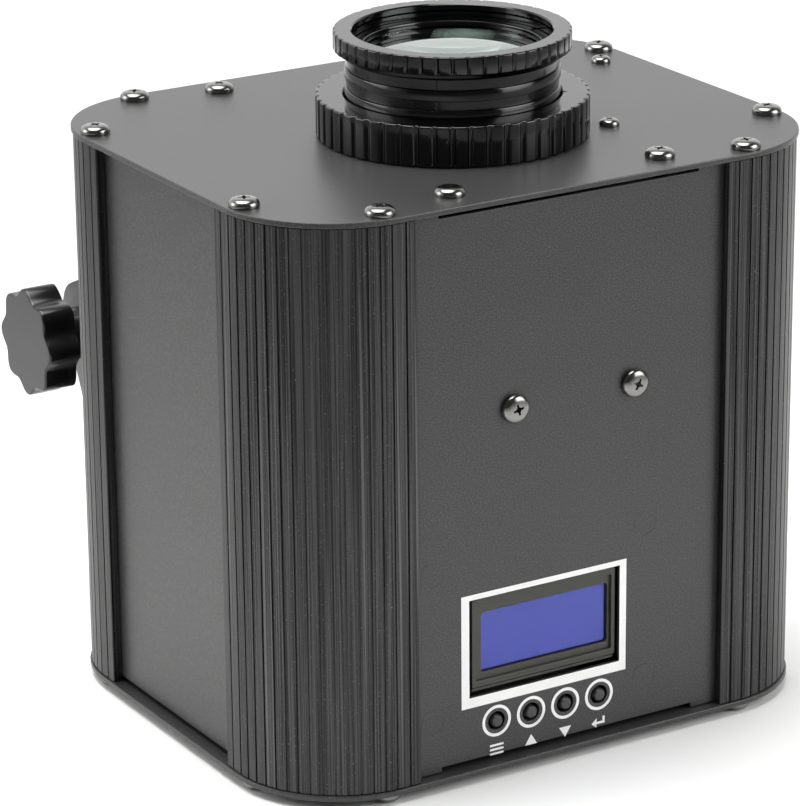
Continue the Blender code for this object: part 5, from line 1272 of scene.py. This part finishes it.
def arm_side(mount, corner):
    """The yoke's outline from the side, with a round corner on each edge of its arms."""
    spare = 2 * MM
    half, back, shoulder = mount.width / 2, -mount.reach - spare, mount.end - corner
    points = [(back, -half), (shoulder, -half)]
    points += circle(corner, 8, (shoulder, corner - half), -QUARTER, QUARTER)[1:]
    return points + [(y, -z) for y, z in points[::-1]]


class SPOTLIGHT_OT_bracket(bpy.types.Operator):
    """Builds the hinge bracket on the rear panel and the yoke that swings on it"""

    bl_idname = "spotlight.bracket"
    bl_label = "Bracket and yoke"

    def execute(self, context):
        case, mount = context.scene.spotlight_case, context.scene.spotlight_mount
        strip, edge, reach = mount.strip, 0.3 * MM, 60 * MM
        pivot = Vector((0, CASE_DEPTH / 2 + mount.pivot_reach, mount.pivot_z))
        face = panel_face(case) + GAP
        ear_outer = mount.half_width - strip - WASHER_SPACE
        half, ear, beyond, bend = 29 * MM, 14 * MM, 20 * MM, 5 * MM
        outline = channel(ear_outer, face, pivot.y + beyond, bend, strip)
        bracket = prism([outline], pivot.z - half, pivot.z + half)
        # The ears narrow beyond a straight skirt beside the sheet
        spare, skirt = 2 * MM, 4 * MM
        side = ear_side(pivot, face - spare, face + strip + skirt, half, ear)
        across = Matrix.Rotation(QUARTER, 4, "Z") @ TO_FRONT
        ears = prism([side], -reach, reach, turn=across)
        lying = Matrix.Rotation(QUARTER, 4, "Y")
        bore = rod(PIVOT_HOLE, THROUGH, turn=Matrix.Translation(pivot) @ lying)
        bracket = softened(cut(cut(bracket, [ears], "INTERSECT"), [bore]), edge)
        # A weld nut behind each ear
        nut, nut_half = 5.8 * MM, 2.5 * MM
        nuts = []
        for hand in (-1, 1):
            x = hand * (ear_outer - strip - nut_half)
            turn = Matrix.Translation((x, pivot.y, pivot.z)) @ lying
            nuts.append(prism([circle(nut, 6), circle(PIVOT_HOLE, 24)], -nut_half, nut_half, edge, turn))
        piece("rear_bracket", merged([bracket, *nuts]), "coat", "housing", ["hinge_bracket"], sharp=25)

        loop = channel(mount.half_width, -mount.reach, mount.end, 6 * MM, strip)
        yoke = prism([loop], -mount.width / 2, mount.width / 2)
        upright = Matrix.Translation((0, -mount.reach, 0)) @ TO_FRONT
        bolt, side_hole, side_x, drill = 5.25 * MM, 3.25 * MM, 28 * MM, 10 * MM
        drills = [rod(PIVOT_HOLE, THROUGH, turn=lying), rod(bolt, drill, 40, upright)]
        for x in (-side_x, side_x):
            drills.append(rod(side_hole, drill, turn=Matrix.Translation((x, 0, 0)) @ upright))
        arm_corner = 9 * MM
        sides = prism([arm_side(mount, arm_corner)], -reach, reach, turn=across)
        yoke = softened(cut(cut(yoke, [sides], "INTERSECT"), drills), edge)
        turn = Matrix.Rotation(QUARTER - mount.tilt, 4, "X")
        piece("swing_yoke", yoke, "coat", "yoke", ["yoke"], turn, sharp=25, at=pivot)
        carry("nylon", "left_washer", "right_washer")
        return {"FINISHED"}


class SPOTLIGHT_OT_knobs(bpy.types.Operator):
    """Builds the two star knobs"""

    bl_idname = "spotlight.knobs"
    bl_label = "Star knobs"

    def execute(self, context):
        mount = context.scene.spotlight_mount
        lobe_steps = 18
        steps = mount.lobes * lobe_steps
        waves = [1 - math.cos(mount.lobes * FULL * i / steps) for i in range(steps)]
        star = [mount.knob - mount.lobe_depth * wave for wave in waves]
        # The neck stands on the arm, the grip on the neck, and the stud reaches through the nut
        start, nut, beyond = mount.half_width + GAP, 5 * MM, 1 * MM
        grip, end = start + 10.3 * MM, start + 20.5 * MM
        stud_end = mount.half_width - 2 * mount.strip - WASHER_SPACE - nut - beyond
        neck, fillet, chamfer, stud, rim, flat = 7.5 * MM, 1.1 * MM, 0.4 * MM, 3 * MM, 0.7 * MM, 4.2 * MM
        rows = [
            (0, end),
            (mount.knob - flat, end),
            (inset(star, 0.8 * MM), end),
            *quarter_round(star, end, rim),
            (star, grip + 0.8 * MM),
            (inset(star, 0.1 * MM), grip + 0.4 * MM),
            (inset(star, rim), grip),
            (neck + fillet, grip - GAP),
            (neck, grip - GAP - fillet),
            (neck, start + chamfer),
            (neck - chamfer, start),
            (stud, start),
            (stud, stud_end + 0.5 * MM),
            (stud - 0.5 * MM, stud_end),
            (0, stud_end),
        ]
        mesh = lathe(rows, steps, closed=False)
        at = (0, CASE_DEPTH / 2 + mount.pivot_reach, mount.pivot_z)
        for name, side in (("left_knob", -1), ("right_knob", 1)):
            turn = Matrix.Rotation(side * QUARTER, 4, "Y")
            piece("star_" + name, mesh.copy(), "knob", name, [name], turn, sharp=28, at=at)
        return {"FINISHED"}


# What the case holds


class SPOTLIGHT_OT_inside(bpy.types.Operator):
    """Finishes the light engine, the fan, the boards and the sockets"""

    bl_idname = "spotlight.inside"
    bl_label = "Light engine and sockets"

    def execute(self, context):
        sheet_edge, moulded_edge = 0.15 * MM, 0.2 * MM
        carry("aluminium", "heat_sink", "light_bridge", "board_bracket", edge=sheet_edge)
        carry("reflector", "reflector")
        carry("led", "led_board")
        carry("fan", "fan_frame", "fan_rotor")
        carry("board", "power_board", "control_board")
        # Painted shade: the display's board is made near black, so the gap under the window looks shaded
        carry("painted_shade_board", "display_board")
        carry("socket", "power_inlet", "power_outlet", "data_inlet", "data_outlet", edge=moulded_edge)
        carry("plating", "data_latch", edge=moulded_edge)
        return {"FINISHED"}


# The stage


class SPOTLIGHT_OT_stage(bpy.types.Operator):
    """Lays the floor and sets the lights and the camera"""

    bl_idname = "spotlight.stage"
    bl_label = "Floor, light and camera"

    def execute(self, context):
        stage = context.scene.spotlight_stage
        scene = context.scene
        bm = bmesh.new()
        bmesh.ops.create_grid(bm, x_segments=8, y_segments=8, size=4)
        mesh = from_bmesh(bm, bpy.data.meshes.new("floor"))
        floor = bpy.data.objects.new("floor", mesh)
        scene.collection.objects.link(floor)
        # Matt paper sheet: even and white, with hardly a grain
        mesh.materials.append(grained("matt_studio_floor", stage.floor, 0.8, 3 * MM, spread=0.01))

        world = bpy.data.worlds.new("studio")
        scene.world = world
        world.use_nodes = True
        tree = world.node_tree
        shade = tree.nodes["Background"]
        shade.inputs["Strength"].default_value = stage.ambient
        # A white wall stands behind the object, and the room is dim elsewhere
        way = node(tree, "ShaderNodeTexCoord").outputs["Generated"]
        parts = node(tree, "ShaderNodeSeparateXYZ", None, {0: way})
        rear = node(
            tree,
            "ShaderNodeMapRange",
            {"From Min": -0.2, "From Max": 0.5, "To Min": 0.0, "To Max": 1.0},
            {"Value": parts.outputs["Y"]},
        )
        low = node(
            tree,
            "ShaderNodeMapRange",
            {"From Min": 0.85, "From Max": 0.5, "To Min": 0.0, "To Max": 1.0},
            {"Value": parts.outputs["Z"]},
        )
        both = {0: rear.outputs[0], 1: low.outputs[0]}
        wall = node(tree, "ShaderNodeMath", None, both, operation="MULTIPLY")
        room = node(
            tree,
            "ShaderNodeMix",
            {6: (0.06, 0.06, 0.06, 1), 7: (1.0, 1.0, 1.0, 1)},
            {0: wall.outputs[0]},
            data_type="RGBA",
        )
        tree.links.new(room.outputs[2], shade.inputs["Color"])

        # Name, place, size, spread in degrees and power; a floor lamp looks straight down
        corners = [(x, y) for x in (-1, 1) for y in (-1, 1)]
        lights = (
            ("top_softbox", (-0.1, 0.05, 0.85), 0.7, 75, stage.key),
            ("left_softbox", (-0.74, 0.4, 0.42), 0.55, 75, stage.side),
            ("right_front_softbox", (0.4, -0.52, 0.36), 0.5, 75, stage.fill),
            ("rear_floor_softbox", (0.4, 0.78, 0.95), 0.8, 75, stage.rear),
            ("right_floor_softbox", (0.55, 0.0, 0.5), 0.4, 60, stage.rear / 4),
            *[
                (f"far_floor_softbox_{x:+.0f}{y:+.0f}", (x * 1.1, y * 1.1, 0.9), 1.2, 90, stage.rear * 1.3)
                for x, y in corners
            ],
        )
        middle = Vector((0, -0.03, 0.08))
        for name, at, size, spread, power in lights:
            light = bpy.data.lights.new(name, "AREA")
            light.energy, light.size, light.spread = power, size, math.radians(spread)
            lamp = bpy.data.objects.new(name, light)
            lamp.location = at
            aim = Vector((*at[:2], 0)) if "floor" in name else middle
            lamp.rotation_euler = (aim - Vector(at)).to_track_quat("-Z", "Y").to_euler()
            scene.collection.objects.link(lamp)

        data = bpy.data.cameras.new("camera")
        camera = bpy.data.objects.new("camera", data)
        scene.collection.objects.link(camera)
        # Sensor and lens in millimetres; place, direction and roll fit the photograph's edges
        data.sensor_width, data.lens = 36, 182.2
        place, back = Vector((-0.5496, -0.92614, 0.4489)), Vector((-0.4859, -0.8087, 0.3317)).normalized()
        azimuth, roll = math.radians(-31.0), math.radians(-0.56)
        right = Vector((math.cos(azimuth), math.sin(azimuth), 0))
        up = back.cross(right)
        across = math.cos(roll) * right + math.sin(roll) * up
        upward = math.cos(roll) * up - math.sin(roll) * right
        turn = Matrix((across, upward, back)).transposed().to_4x4()
        camera.matrix_world = Matrix.Translation(place) @ turn
        scene.camera = camera
        scene.view_settings.view_transform = "Standard"
        return {"FINISHED"}


STEPS = (
    SPOTLIGHT_OT_plates,
    SPOTLIGHT_OT_profiles,
    SPOTLIGHT_OT_panels,
    SPOTLIGHT_OT_screws,
    SPOTLIGHT_OT_collar,
    SPOTLIGHT_OT_lens_tube,
    SPOTLIGHT_OT_display,
    SPOTLIGHT_OT_buttons,
    SPOTLIGHT_OT_print,
    SPOTLIGHT_OT_bracket,
    SPOTLIGHT_OT_knobs,
    SPOTLIGHT_OT_inside,
    SPOTLIGHT_OT_stage,
)


class SPOTLIGHT_PT_panel(bpy.types.Panel):
    """The spotlight's sizes, colours and building steps"""

    bl_idname = "SPOTLIGHT_PT_panel"
    bl_label = "Colour changer spotlight"
    bl_space_type = "VIEW_3D"
    bl_region_type = "UI"
    bl_category = "Spotlight"

    def draw(self, context):
        for step in STEPS:
            self.layout.operator(step.bl_idname)
        for key, group in GROUPS.items():
            box = self.layout.box()
            box.label(text=group.__doc__)
            for name in group.__annotations__:
                box.prop(getattr(context.scene, key), name)


def register():
    for group in (*GROUPS.values(), *STEPS, SPOTLIGHT_PT_panel):
        bpy.utils.register_class(group)
    for key, group in GROUPS.items():
        setattr(bpy.types.Scene, key, PointerProperty(type=group))


def unregister():
    for key in GROUPS:
        delattr(bpy.types.Scene, key)
    for group in (SPOTLIGHT_PT_panel, *reversed(STEPS), *reversed(list(GROUPS.values()))):
        bpy.utils.unregister_class(group)


def main():
    register()
    for step in STEPS:
        group, name = step.bl_idname.split(".")
        getattr(getattr(bpy.ops, group), name)()


if __name__ == "__main__":
    main()
